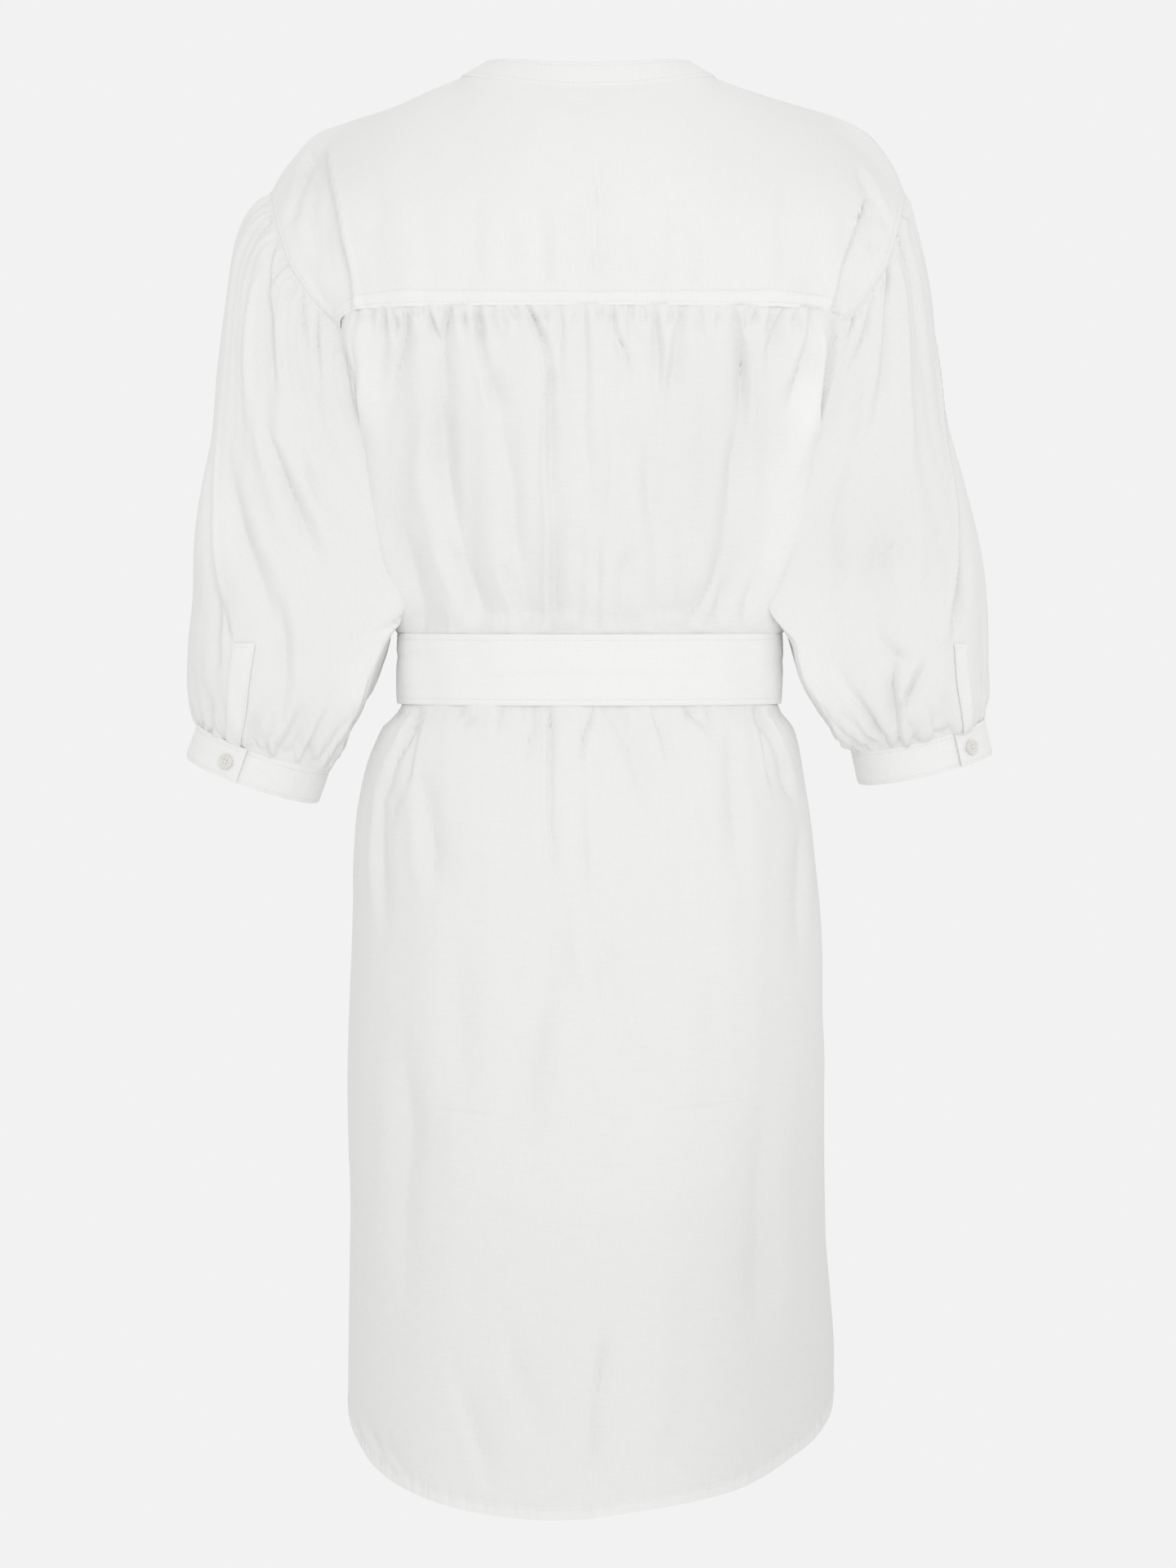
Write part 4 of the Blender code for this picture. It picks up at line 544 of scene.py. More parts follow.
def armhole(turn, side, face):
    """The armhole seam: turn is 0 degrees at the shoulder and 180 under the arm."""
    turn = np.clip(turn, 0.0, 180.0)
    # Behind, the full sleeve draws the seam out, so no deep slot is left beside the body
    drawn = np.where(face == BACK, 0.018 * bell(turn - TOUCH_TURN, 26) * ease((180 - turn) / 20), 0.0)
    return pointed(side * along(ARMHOLE, "turn", "x", turn),
                   face * along(ARMHOLE, "turn", "y", turn) + drawn,
                   along(ARMHOLE, "turn", "z", turn))


def panel(face, w, level):
    """The front or back below the yoke: w is 1 at the left side seam and -1 at the right one."""
    side = side_of(w)
    down = (level - SEAM_LEVEL) / (UNDERARM_LEVEL - SEAM_LEVEL)
    arm = armhole(mix(YOKE_TURN, 180, np.clip(down, 0, 1)), side, face)
    beside = down <= 1
    edge_x = np.where(beside, arm[..., 0], side * sided(SECTIONS, "z", w, level))
    edge_y = np.where(beside, arm[..., 1], face * 0.0001)
    if face == BACK:
        # Inwards from the armhole the cloth falls straight past the hollow under the arm
        seam_y = armhole(YOKE_TURN + 0 * level, side, face)[..., 1]
        falling = seam_y * ease((level - HOLLOW_END) / (SEAM_LEVEL - HOLLOW_END))
        edge_y = mix(falling, edge_y, ease((np.abs(w) - 0.72) / 0.26))
    edge_z = np.where(beside, arm[..., 2], level)
    depth = along(SECTIONS, "z", "back" if face == BACK else "front", level)
    reach = np.sin(np.abs(w) * pi / 2)
    curve = np.maximum(0.0, 1 - reach ** BODY_ROUNDNESS) ** (1 / BODY_ROUNDNESS)
    # Behind, the yoke seam runs level nearly to the armhole
    late = mix(10, 3, ease((SEAM_LEVEL - level) / 0.05)) if face == BACK else 3
    return pointed(edge_x * reach, edge_y + (face * depth - edge_y) * curve,
                   level + (edge_z - level) * np.abs(w) ** late)


def hem_level(face, w):
    level = sided(HEM, "w", w, np.abs(w))
    return level if face == BACK else level + HEM_FRONT_LIFT * (1 - w * w)


def skirt_levels(face, w, upper, lower):
    """The level at each row and column below the yoke: the lower rows come to follow the hem."""
    return np.concatenate((np.repeat(upper[:, None], len(w), axis=1),
                           mix(HIP_LEVEL, hem_level(face, w)[None, :], lower[:, None])))


def neck(turn, side):
    """The neck seam: turn is 0 degrees at the back, 90 at the side and 180 in front."""
    angle = np.radians(turn)
    behind = turn <= 90
    x = NECK_HALF_WIDTH * np.sin(angle)
    y = NECK_MIDDLE + np.where(behind, NECK_BACK, NECK_FRONT) * np.cos(angle)
    z = np.where(behind, mix(NECK_BACK_LEVEL, NECK_SIDE_LEVEL, np.sin(angle) ** 2),
                 mix(NECK_SIDE_LEVEL, NECK_FRONT_LEVEL, np.maximum(0, -np.cos(angle)) ** 1.4))
    return pointed(side * x, y, z)


def shoulder_line(face, u):
    """Round the neck, then out along the shoulder: u is 1 and -1 at the armholes."""
    side = side_of(u)
    share = np.abs(u)
    turn = 90 * np.clip(share / NECK_SHARE, 0, 1)
    at_neck = neck(turn if face == BACK else 180 - turn, side)
    out = np.clip((share - NECK_SHARE) / (1 - NECK_SHARE), 0, 1)
    x = mix(NECK_HALF_WIDTH, ARMHOLE[0].x, out)
    on_ridge = pointed(side * x, mix(NECK_MIDDLE, 0, ease(out * 3)), sided(RIDGE, "x", u, x))
    return np.where((share <= NECK_SHARE)[..., None], at_neck, on_ridge)


def chest(face, u, v):
    """The cloth over the shoulder and chest: v is 0 at the neck and shoulder, and 1 below."""

    def curve(across):
        top = shoulder_line(face, across)
        low = panel(face, across, SEAM_LEVEL + 0 * across)
        span = np.linalg.norm(low - top, axis=-1)[..., None]
        on_ridge = ease((np.abs(across) - NECK_SHARE + 0.15) / 0.3)
        start = pointed(0, face * mix(0.75, 0.95, on_ridge), mix(-0.62, -0.22, on_ridge)) * span * 1.1
        return curved(top, start, low, pointed(0, 0, -1) * span * 0.9, v[..., None])

    side = side_of(u)
    pull = ease((np.abs(u) - 0.7) / 0.3)[..., None]
    return curve(u) + (armhole(YOKE_TURN * v, side, face) - curve(side)) * pull


def outward(points, closed=False):
    """The outward direction at each point of a grid."""
    if closed:
        across = np.roll(points, -1, axis=1) - np.roll(points, 1, axis=1)
    else:
        across = np.gradient(points, axis=1)
    return unit(np.cross(np.gradient(points, axis=0), across))


def seam_lines(points, *places):
    """Lines of a grid for stitches to follow, just off the cloth, with their outward ways."""
    ways = outward(points)
    return [(points[place] + ways[place] * STITCH_RAISE, ways[place]) for place in places]


def folded(across, run, creases, scale=1.0, round_=False, hold=9.0):
    """How far the cloth stands out at each point, in metres, by all the creases near it."""
    total = np.zeros(np.broadcast(across, run).shape)
    for c in creases:
        reach = abs(c.run2 - c.run0)
        t = (run - c.run0) / (c.run2 - c.run0)
        centre = (c.at0 * (run - c.run1) * (run - c.run2) / ((c.run0 - c.run1) * (c.run0 - c.run2))
                  + c.at1 * (run - c.run0) * (run - c.run2) / ((c.run1 - c.run0) * (c.run1 - c.run2))
                  + c.at2 * (run - c.run0) * (run - c.run1) / ((c.run2 - c.run0) * (c.run2 - c.run1)))
        off = across - centre
        if round_:
            off = (off + 180) % 360 - 180
        # No crease runs true: it wavers, and is deeper in some places than in others
        off = (off * scale / mix(c.width0, c.width1, np.clip(t, 0, 1))
               + 0.18 * np.sin(t * 6.5 + c.at0) + 0.10 * np.sin(t * 15 + c.at2))
        deep = c.depth * 0.001 * (1 + 0.25 * np.sin(t * 8.3 + c.at1))
        # A leaning crease is steep on the side it leans to and runs out gently on the other
        off = np.where(off * c.lean > 0, off * (1 + abs(c.lean)), off / (1 + 1.6 * abs(c.lean)))
        # One that starts at a seam is shallow there, where the stitches hold it
        held = [mix(0.25, 1.0, ease(share * reach / hold)) * (share >= 0) if fade < 0.05
                else ease(share / fade) for share, fade in ((t, c.fade0), (1 - t, c.fade1))]
        roll = 0.45 * abs(c.lean) * np.exp(-(off - np.sign(c.lean) * 2.1) ** 2)
        total += deep * held[0] * held[1] * (roll - np.exp(-np.abs(off) ** 1.5))
    return total


def gathered(across, away, seed, low, high, spacing, depth, reach):
    """Fine gathers that start at a seam, uneven in place, length and depth.

    The places across are in mm, as are the distances away from the seam.
    """
    dice = np.random.default_rng(seed)
    total = np.zeros(np.broadcast(across, away).shape)
    place = low
    while place < high:
        place += spacing * dice.uniform(0.45, 1.5)
        run = reach * dice.uniform(0.35, 1.5)
        width = spacing * dice.uniform(0.16, 0.28) * (1 + np.clip(away / run, 0, 2) * 0.8)
        off = (across - place - away * dice.uniform(-0.22, 0.22)) / width
        fade = mix(0.3, 1.0, ease(away / 4)) * np.exp(-np.clip(away / run, 0, 9) ** 1.6) * (away >= 0)
        total -= depth * 0.001 * dice.uniform(0.4, 1.3) * fade * np.exp(-np.abs(off) ** 1.6)
    return total


def evened(base, reach, start, full):
    """A grid's base form with its kinks smoothed along the rows, more so lower down."""
    count = base.shape[1]
    spread = bell(np.arange(-reach, reach + 1), reach * 0.45)
    spread /= spread.sum()
    index = np.arange(-reach, count + reach)
    padded = base[:, np.clip(index, 0, count - 1)]
    # Past each end the form goes on as it does just inside it
    padded[:, :reach] = 2 * base[:, :1] - base[:, reach:0:-1]
    padded[:, -reach:] = 2 * base[:, -1:] - base[:, -2:-2 - reach:-1]
    soft = sum(spread[k] * padded[:, k:k + count] for k in range(2 * reach + 1))
    rows = np.linspace(0, 1, base.shape[0])[:, None, None]
    return mix(base, soft, ease((rows - start) / (full - start)))


def uneven(x, z, seed, size, shortest, longest):
    """Slight unevenness that all worn cloth has: seeded waves of mixed length, in metres."""
    dice = np.random.default_rng(seed)
    total = np.zeros(np.broadcast(x, z).shape)
    for _ in range(10):
        length = dice.uniform(shortest, longest)
        turn = dice.uniform(0, pi)
        total += np.sin((x * cos(turn) + z * sin(turn) * 0.6) * 2 * pi / length + dice.uniform(0, 2 * pi))
    return total * size / 3


def pressed(amount, level, top, bottom):
    """Folds pressed flat under the belt, and nipped in just above and below it."""
    under = ease((top + 0.002 - level) / 0.004) * ease((level - bottom + 0.002) / 0.004)
    amount = np.where(amount > 0, amount * (1 - 0.8 * under), amount * (1 - 0.6 * under))
    nip = np.exp(-np.minimum(np.abs(level - top), np.abs(level - bottom)) / 0.012)
    return np.minimum(amount, mix(0.02, 0.0018, ease(nip * 1.4)))


def hem_rise(hem, w, fast, bend, bend_fast, twist, twist_fast):
    """How far the rolled hem stands out, puckered by its stitches: hem is the height above its edge."""
    pucker = np.sin(w * fast + bend * np.sin(w * bend_fast) + twist * np.sin(w * twist_fast))
    return 0.0004 * ease((HEM_HEIGHT - hem) / 0.0015) + 0.0005 * pucker * bell(hem - 0.006, 0.006)


def linear(colour):
    """An sRGB hex colour as the linear values that Blender wants."""
    parts = [int(colour[i:i + 2], 16) / 255 for i in (0, 2, 4)]
    return tuple(p / 12.92 if p <= 0.04045 else ((p + 0.055) / 1.055) ** 2.4 for p in parts) + (1.0,)


def add(tree, kind, settings=None, values=None, links=None):
    """Add a node to a material, with its settings, its sockets' values and its links."""
    made = tree.nodes.new(kind)
    for name, value in (settings or {}).items():
        setattr(made, name, value)
    for name, value in (values or {}).items():
        made.inputs[name].default_value = value
    for name, value in (links or {}).items():
        tree.links.new(value, made.inputs[name])
    return made


def new_material(name):
    """A material, its node tree and its shader."""
    material = bpy.data.materials.new(name)
    material.use_nodes = True
    return material, material.node_tree, material.node_tree.nodes["Principled BSDF"]


def woven_cotton(name, thin, thick_and_lit, crinkle):
    """Plain-woven cotton: matt, a little see-through, so whiter where more of it lies together, and painted
    with shade and light.
    """
    material, tree, shader = new_material(name)
    place = add(tree, "ShaderNodeUVMap", {"uv_map": "cut"}).outputs["UV"]
    # Threads lie 0.35 mm apart, too fine to show, so slubs are drawn about 1 mm wide and 15 mm long
    warp_map = add(tree, "ShaderNodeMapping", values={"Scale": (900, 70, 1)}, links={"Vector": place})
    weft_map = add(tree, "ShaderNodeMapping", values={"Scale": (60, 800, 1)}, links={"Vector": place})
    warp = add(tree, "ShaderNodeTexNoise", values={"Scale": 1.0, "Detail": 2.0},
               links={"Vector": warp_map.outputs["Vector"]})
    weft = add(tree, "ShaderNodeTexNoise", values={"Scale": 1.0, "Detail": 2.0},
               links={"Vector": weft_map.outputs["Vector"]})
    weave = add(tree, "ShaderNodeMath", {"operation": "ADD"},
                links={0: warp.outputs["Fac"], 1: weft.outputs["Fac"]})
    # Its tone follows how much cloth lies together, and also holds painted shade and painted light
    layers_and_painted_light = add(tree, "ShaderNodeAttribute", {"attribute_name": "layers_and_painted_light"})
    body = add(tree, "ShaderNodeMapRange", {"clamp": False},
               {"From Min": 0.0, "From Max": 3.0, "To Min": -0.35, "To Max": 0.65},
               {"Value": layers_and_painted_light.outputs["Fac"]})
    tone = add(tree, "ShaderNodeMath", {"operation": "MULTIPLY_ADD"}, {1: 0.35},
               {0: weave.outputs["Value"], 2: body.outputs["Result"]})
    colour = add(tree, "ShaderNodeMix", {"data_type": "RGBA", "clamp_factor": False},
                 links={"Factor": tone.outputs["Value"]})
    # A is the white of thin cloth and of painted shade, B that of doubled cloth and of painted light
    colour.inputs["A"].default_value = linear(thin)
    colour.inputs["B"].default_value = linear(thick_and_lit)
    tree.links.new(colour.outputs["Result"], shader.inputs["Base Color"])
    # Crinkles 6 to 20 mm long, left by wear and the iron
    crinkle_map = add(tree, "ShaderNodeMapping", values={"Scale": (60, 110, 1)}, links={"Vector": place})
    crinkles = add(tree, "ShaderNodeTexNoise", values={"Scale": 1.0, "Detail": 3.0, "Roughness": 0.55},
                   links={"Vector": crinkle_map.outputs["Vector"]})
    coarse = add(tree, "ShaderNodeBump", values={"Strength": crinkle, "Distance": 0.004},
                 links={"Height": crinkles.outputs["Fac"]})
    fine = add(tree, "ShaderNodeBump", values={"Strength": 0.35, "Distance": 0.0003},
               links={"Height": weave.outputs["Value"], "Normal": coarse.outputs["Normal"]})
    tree.links.new(fine.outputs["Normal"], shader.inputs["Normal"])
    shader.inputs["Roughness"].default_value = 0.82
    shader.inputs["Specular IOR Level"].default_value = 0.25
    shader.inputs["Sheen Weight"].default_value = 0.05
    shader.inputs["Sheen Roughness"].default_value = 0.6
    return material


def sewing_thread(name, colour):
    """Polyester-cored sewing thread: smoother than the cloth, with a faint gloss and a tight twist."""
    material, tree, shader = new_material(name)
    place = add(tree, "ShaderNodeTexCoord").outputs["Object"]
    twist = add(tree, "ShaderNodeTexNoise", values={"Scale": 3000.0, "Detail": 1.0}, links={"Vector": place})
    bump = add(tree, "ShaderNodeBump", values={"Strength": 0.3, "Distance": 0.0001},
               links={"Height": twist.outputs["Fac"]})
    tree.links.new(bump.outputs["Normal"], shader.inputs["Normal"])
    shader.inputs["Base Color"].default_value = linear(colour)
    shader.inputs["Roughness"].default_value = 0.55
    return material


def pearl_resin(name, light, dark):
    """Polyester resin buttons, cast to look like shell: glossy, milky and faintly clouded."""
    material, tree, shader = new_material(name)
    place = add(tree, "ShaderNodeTexCoord").outputs["Object"]
    cloud = add(tree, "ShaderNodeTexNoise", values={"Scale": 260.0, "Detail": 3.0, "Distortion": 1.2},
                links={"Vector": place})
    colour = add(tree, "ShaderNodeMix", {"data_type": "RGBA"}, links={"Factor": cloud.outputs["Fac"]})
    colour.inputs["A"].default_value = linear(dark)
    colour.inputs["B"].default_value = linear(light)
    tree.links.new(colour.outputs["Result"], shader.inputs["Base Color"])
    shader.inputs["Roughness"].default_value = 0.22
    shader.inputs["IOR"].default_value = 1.55
    shader.inputs["Coat Weight"].default_value = 0.3
    return material


cotton = woven_cotton("white_cotton_voile", "E9E9E8", "F6F6F5", 0.15)
thread = sewing_thread("white_sewing_thread", "F4F4F2")
button_resin = pearl_resin("shell_look_resin", "F2F0EA", "DCD9D2")


def put_in_scene(name, data):
    piece = bpy.data.objects.new(name, data)
    bpy.context.scene.collection.objects.link(piece)
    return piece


def select_only(*pieces):
    """Select these pieces and nothing else, and make the last one active."""
    bpy.ops.object.select_all(action="DESELECT")
    for piece in pieces:
        piece.select_set(True)
    bpy.context.view_layer.objects.active = pieces[-1]


def apply_all(piece):
    """Apply the piece's modifiers with only it selected."""
    select_only(piece)
    for modifier in list(piece.modifiers):
        bpy.ops.object.modifier_apply(modifier=modifier.name)


def cloth(name, points, layers_and_painted_light, nodes, closed=False, thickness=CLOTH, base=None):
    """A shell of cloth from a grid of its outside, with its cut laid out in metres as a UV map."""
    rows, columns = points.shape[:2]
    flat = points if base is None else base
    if closed:
        flat = np.concatenate((flat, flat[:, :1]), axis=1)
    steps = np.linalg.norm(np.diff(flat, axis=1), axis=-1)
    across = np.concatenate((np.zeros((rows, 1)), np.cumsum(steps, axis=1)), axis=1)
    across -= across[:, -1:] / 2
    drops = np.linalg.norm(np.diff(flat, axis=0), axis=-1)
    downward = -np.concatenate((np.zeros((1, flat.shape[1])), np.cumsum(drops, axis=0)), axis=0)
    index = np.arange(rows * columns).reshape(rows, columns)
    if closed:
        index = np.concatenate((index, index[:, :1]), axis=1)
    faces = np.stack((index[:-1, :-1], index[1:, :-1], index[1:, 1:], index[:-1, 1:]), axis=-1)
    places = np.arange(rows * flat.shape[1]).reshape(rows, -1)
    corners = np.stack((places[:-1, :-1], places[1:, :-1], places[1:, 1:], places[:-1, 1:]), axis=-1)
    data = bpy.data.meshes.new(name)
    data.from_pydata(points.reshape(-1, 3).tolist(), [], faces.reshape(-1, 4).tolist())
    cut_map = data.uv_layers.new(name="cut")
    cut = np.stack((across.ravel(), downward.ravel()), axis=-1)[corners.ravel()]
    cut_map.data.foreach_set("uv", cut.ravel())
    marked = data.attributes.new("layers_and_painted_light", "FLOAT", "POINT")
    marked.data.foreach_set("value", np.broadcast_to(layers_and_painted_light, (rows, columns)).astype(float).ravel())
    piece = put_in_scene(name, data)
    data.materials.append(cotton)
    wall = piece.modifiers.new("wall", "SOLIDIFY")
    wall.thickness = thickness
    wall.offset = -1
    apply_all(piece)
    # Folds are smooth, and the cut edges stay crisp
    bpy.ops.object.shade_smooth_by_angle(angle=radians(80))
    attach(piece, "root")
    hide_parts(*nodes)
    return piece


def stitches(name, lines, length=0.0026, gap=0.0009, radius=0.00028):
    """Machine stitches along lines of points that carry their outward ways, sunk a little in the cloth."""
    verts, faces = [], []
    for points, ways in lines:
        steps = np.linalg.norm(np.diff(points, axis=0), axis=-1)
        reach = np.concatenate(([0.0], np.cumsum(steps)))
        count = int(reach[-1] / (length + gap))
        for number in range(count):
            marks = (number + np.array((0.0, 0.2, 0.8, 1.0)) * length / (length + gap)) * (length + gap)
            spots = between(marks, reach, points)
            out = unit(between(marks, reach, ways))
            across = unit(np.cross(out, spots[-1] - spots[0]))
            start = len(verts)
            for spot, up, side, swell in zip(spots, out, across, (0.25, 1.0, 1.0, 0.25)):
                for angle in range(4):
                    turn = pi * (angle / 2 + 0.25)
                    way = side * cos(turn) + up * sin(turn)
                    verts.append(spot + way * radius * swell)
            for ring in range(3):
                for angle in range(4):
                    a, b = start + ring * 4 + angle, start + ring * 4 + (angle + 1) % 4
                    faces.append((a, b, b + 4, a + 4))
            faces.append(tuple(start + k for k in range(3, -1, -1)))
            faces.append(tuple(start + 12 + k for k in range(4)))
    data = bpy.data.meshes.new(name)
    data.from_pydata([tuple(v) for v in verts], [], faces)
    piece = put_in_scene(name, data)
    data.materials.append(thread)
    data.shade_smooth()
    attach(piece, "root")


def yoke():
    """The back yoke, doubled, with its bottom edge pressed under and topstitched."""
    u = np.linspace(1, -1, 210)
    v = np.concatenate((np.linspace(0, 0.10, 10), np.linspace(0.115, 0.90, 52), np.linspace(0.912, 1.0, 16)))
    grid_v, grid_u = np.meshgrid(v, u, indexing="ij")
    form = chest(BACK, grid_u, grid_v)
    # Its lowest rows meet the panel below
    base = mix(evened(form, 26, -0.01, 0.14), form, ease((grid_v - 0.84) / 0.12)[..., None])
    ways = outward(base)
    x, z = base[..., 0], base[..., 2]
    below = np.clip((1 - grid_v) * 0.20 / 0.010, 0, 9)
    edge = ease((1 - np.abs(grid_u)) / 0.03)
    start = ease(grid_v / mix(0.12, 0.04, ease((np.abs(grid_u) - 0.6) / 0.2)))
    amount = 1.3 * folded(x * 1000, z * 1000, YOKE_CREASES) * edge * start
    amount -= 0.0012 * bell(np.abs(grid_u) - YOKE_CREASE, 0.05) * start * ease((1 - grid_v) / 0.2)
    amount += uneven(x, z, 3, 0.0004, 0.02, 0.07) * edge * start
    amount += uneven(x, z * 0.15, 4, 0.0010, 0.014, 0.05) * edge * ease((-0.060 - z) / 0.06)
    # The seam allowance lies under the last 10 mm, and the topstitching dimples its upper edge
    amount += 0.0006 * ease((1.15 - below) / 0.3) * (1 - ease((np.abs(grid_u) - 0.93) / 0.05))
    amount -= 0.0003 * bell(below - 1.02, 0.16)
    amount += gathered(x * 1000, below * 10, 61, -176, 172, 9.0, 0.7, 12) * edge
    amount += 0.0009 * ease((0.032 - (1 - np.abs(grid_u))) / 0.016) * start * ease((1 - grid_v) / 0.1)
    # It reaches 0.8 mm over the seam, and its fold is round
    points = base + ways * amount[..., None]
    points[-1, :, 2] -= 0.0008
    points[-1] -= ways[-1] * 0.0002
    # At the neck it goes up under the band
    points[0] += (pointed(0, 0, 0.0016) - ways[0] * 0.0003) * ease((NECK_SHARE - np.abs(u[:, None])) / 0.02)
    layers_and_painted_light = 1.9 + 0.6 * ease((1.1 - below) / 0.2)
    # Painted shade darkens its upper outer parts, which slope back away from the light
    layers_and_painted_light -= 0.9 * ease((np.abs(x) - 0.07) / 0.09) * ease((z + 0.10) / 0.06)
    piece = cloth("yoke_cloth", points, layers_and_painted_light, ["yoke"], thickness=DOUBLED, base=base)
    middle = points[:, len(u) // 2, 2]
    row, low = (nearest(middle, SEAM_LEVEL + height) for height in (0.0095, 0.0015))
    return seam_lines(points, np.s_[row, 4:-4], np.s_[low, 4:-4], np.s_[3:-7, 1], np.s_[3:-7, -2])


# Patches where the back's colour is darker (more below 0) or paler; the one at the left side below the
# armhole is painted shade
Spot = namedtuple("Spot", "x z wide high more")
BACK_SPOTS = table(Spot, (
    (0.034, -0.697, 0.014, 0.032, -0.5),
    (0.137, -0.311, 0.014, 0.050, -0.6),
    (-0.080, -0.260, 0.020, 0.060, -0.6),
))


def back_layers_and_painted_light(x, z, w, level, belt_bottom, beside):
    """The back's tone: painted shade and painted light, and paler where something lies close behind it."""
    # Painted shade darkens it towards the hem
    below = ease((-0.50 - z) / 0.45)
    layers_and_painted_light = 1.5 - 0.9 * below
    # Painted shade darkens the skirt's sides below the belt, where they turn away from the light
    layers_and_painted_light -= 0.5 * ease((np.abs(x) - 0.085) / 0.05) * ease((belt_bottom - z) / 0.08) * (1 - beside)
    # It is darker towards the lower right
    layers_and_painted_light -= 1.2 * ease((-0.03 - x) / 0.08) * ease((-0.60 - z) / 0.3)
    # Paler low in the middle, where something lies close behind it, and painted light beside the arms, where
    # shade falls between sleeve and body
    inner = ease((0.100 - np.abs(x + 0.006)) / 0.018) * ease((z + 0.795 - 0.02 * (x / 0.09) ** 2) / 0.014)
    layers_and_painted_light += 0.35 * inner * below + 0.8 * beside
    # Painted light brightens a patch inward of each armhole
    layers_and_painted_light += 0.3 * np.exp(-((np.abs(w) - 0.78) / 0.18) ** 2 - ((level + 0.212) / 0.030) ** 2)
    for spot in BACK_SPOTS:
        layers_and_painted_light += spot.more * np.exp(-((x - spot.x) / spot.wide) ** 2 - ((z - spot.z) / spot.high) ** 2)
    # Painted light runs down a fold beside the right sleeve
    painted_fold_light = bell(x + 0.168 + 0.278 * (z + 0.171), 0.013)
    return layers_and_painted_light + 0.9 * painted_fold_light * ease((-0.190 - z) / 0.04) * ease((z + 0.375) / 0.02)


def back_panel():
    """The back below the yoke: gathered, nipped by the belt, with a narrow shirt-tail hem."""
    # The columns stand closer in the middle, where the creases are sharpest
    w = np.arcsin(np.linspace(0.9, -0.9, 356)) / np.arcsin(0.9)
    upper = np.concatenate((np.linspace(SEAM_LEVEL, -0.185, 18), np.linspace(-0.189, -0.350, 29),
                            np.linspace(-0.355, -0.452, 21), np.linspace(-0.458, HIP_LEVEL, 7)))
    lower = np.concatenate((np.linspace(0.018, 0.430, 21), (0.4340, 0.4368, 0.4396),
                            np.linspace(0.446, 0.955, 26), np.linspace(0.962, 1.0, 9)))
    level = skirt_levels(BACK, w, upper, lower)
    grid_w = np.broadcast_to(w, level.shape)
    base = panel(BACK, grid_w, level)
    ways = outward(base)
    x, z = base[..., 0], base[..., 2]
    fall = SEAM_LEVEL - level
    edge = ease((1 - np.abs(grid_w)) / 0.04)
    belt_top = BELT_TOP - BELT_DIP * np.cos(grid_w * pi / 2)
    belt_bottom = BELT_BOTTOM - BELT_DIP * np.cos(grid_w * pi / 2)
    amount = folded(x * 1000, z * 1000, BACK_CREASES) * mix(1.3, 1.75, ease((level - BELT_TOP) / 0.02))
    # A pleat stands up from the belt, between two of the creases
    pleat = 0.0018 * ease((0.0270 - x) / 0.0036) * ease((x - 0.003) / 0.004)
    amount += pleat * ease((z + 0.60) / 0.07) * (z < BELT_TOP)
    amount += (0.0003 + 0.0020 * ease(fall / 0.009)) * np.exp(-fall / 0.035)
    amount += gathered(x * 1000, fall * 1000, 71, -168, 166, 5.2, 1.7, 13)
    amount += uneven(x, z, 7, 0.00035, 0.03, 0.10) * ease(fall / 0.03)
    # The gathers go on down as soft waves, which lessen below the belt
    amount += uneven(x, z * 0.12, 8, 0.0009, 0.013, 0.045) * ease(fall / 0.02) * np.exp(-fall / 0.40)
    amount += gathered(x * 1000, (belt_bottom - level) * 1000, 72, -146, 146, 7.5, 1.6, 13)
    amount += gathered(x * 1000, (level - belt_top) * 1000, 73, -138, 138, 8.5, 1.3, 11)
    amount = pressed(amount, level, belt_top, belt_bottom)
    # The cloth swells out just below the belt, and just above it
    for beyond, swell in ((belt_bottom - level, 0.0026), (level - belt_top, 0.0022)):
        amount += swell * ease((beyond + 0.003) / 0.003) * np.exp(-np.abs(beyond) / 0.010)
    # Two faint level marks, as of something behind the cloth
    mark = ease((0.023 - np.abs(x - 0.0855)) / 0.006) + ease((0.027 - np.abs(x + 0.0780)) / 0.006)
    marked = len(upper) + nearest(lower, 0.4368)
    amount[marked] -= 0.0005 * mark[marked]
    hem = np.clip(level - hem_level(BACK, grid_w), 0, 1)
    amount += hem_rise(hem, grid_w, 175, 2.2, 41, 1.3, 97)
    amount -= 0.0004 * bell(hem - 0.0066, 0.0010)
    amount *= edge
    points = base + ways * amount[..., None]
    # Beside the arms the cloth stands fuller than the body, so it lies against the sleeves
    beside = bell(np.abs(grid_w) - 0.84, 0.13) * ease(fall / 0.025) * ease((1 - np.abs(grid_w)) / 0.06)
    squarer = mix(0.004, 0.017, ease((-0.165 - level) / 0.12)) * mix(1.0, 0.55, ease((-0.33 - level) / 0.05))
    points[..., 1] += squarer * ease((level + 0.48) / 0.05) * beside
    points[..., 0] += 0.007 * np.sign(grid_w) * beside * ease((level + 0.36) / 0.06)
    # At the sides it bulges out over the belt
    bulge = ease((np.abs(grid_w) - 0.70) / 0.20) * ease((1 - np.abs(grid_w)) / 0.06)
    bulge *= ease((level + 0.3815) / 0.005) * ease((-0.335 - level) / 0.025)
    points[..., 0] += 0.006 * np.sign(grid_w) * bulge
    beside *= ease((level + 0.385) / 0.07)
    layers_and_painted_light = back_layers_and_painted_light(x, z, grid_w, level, belt_bottom, beside) + 0.9 * ease((HEM_HEIGHT - hem) / 0.001)
    piece = cloth("back_cloth", points, layers_and_painted_light, ["back_panel"], base=base)
    row = len(upper) + nearest(lower, 1 - HEM_STITCHES / BACK_SKIRT)
    return seam_lines(points, np.s_[row, 3:-3])


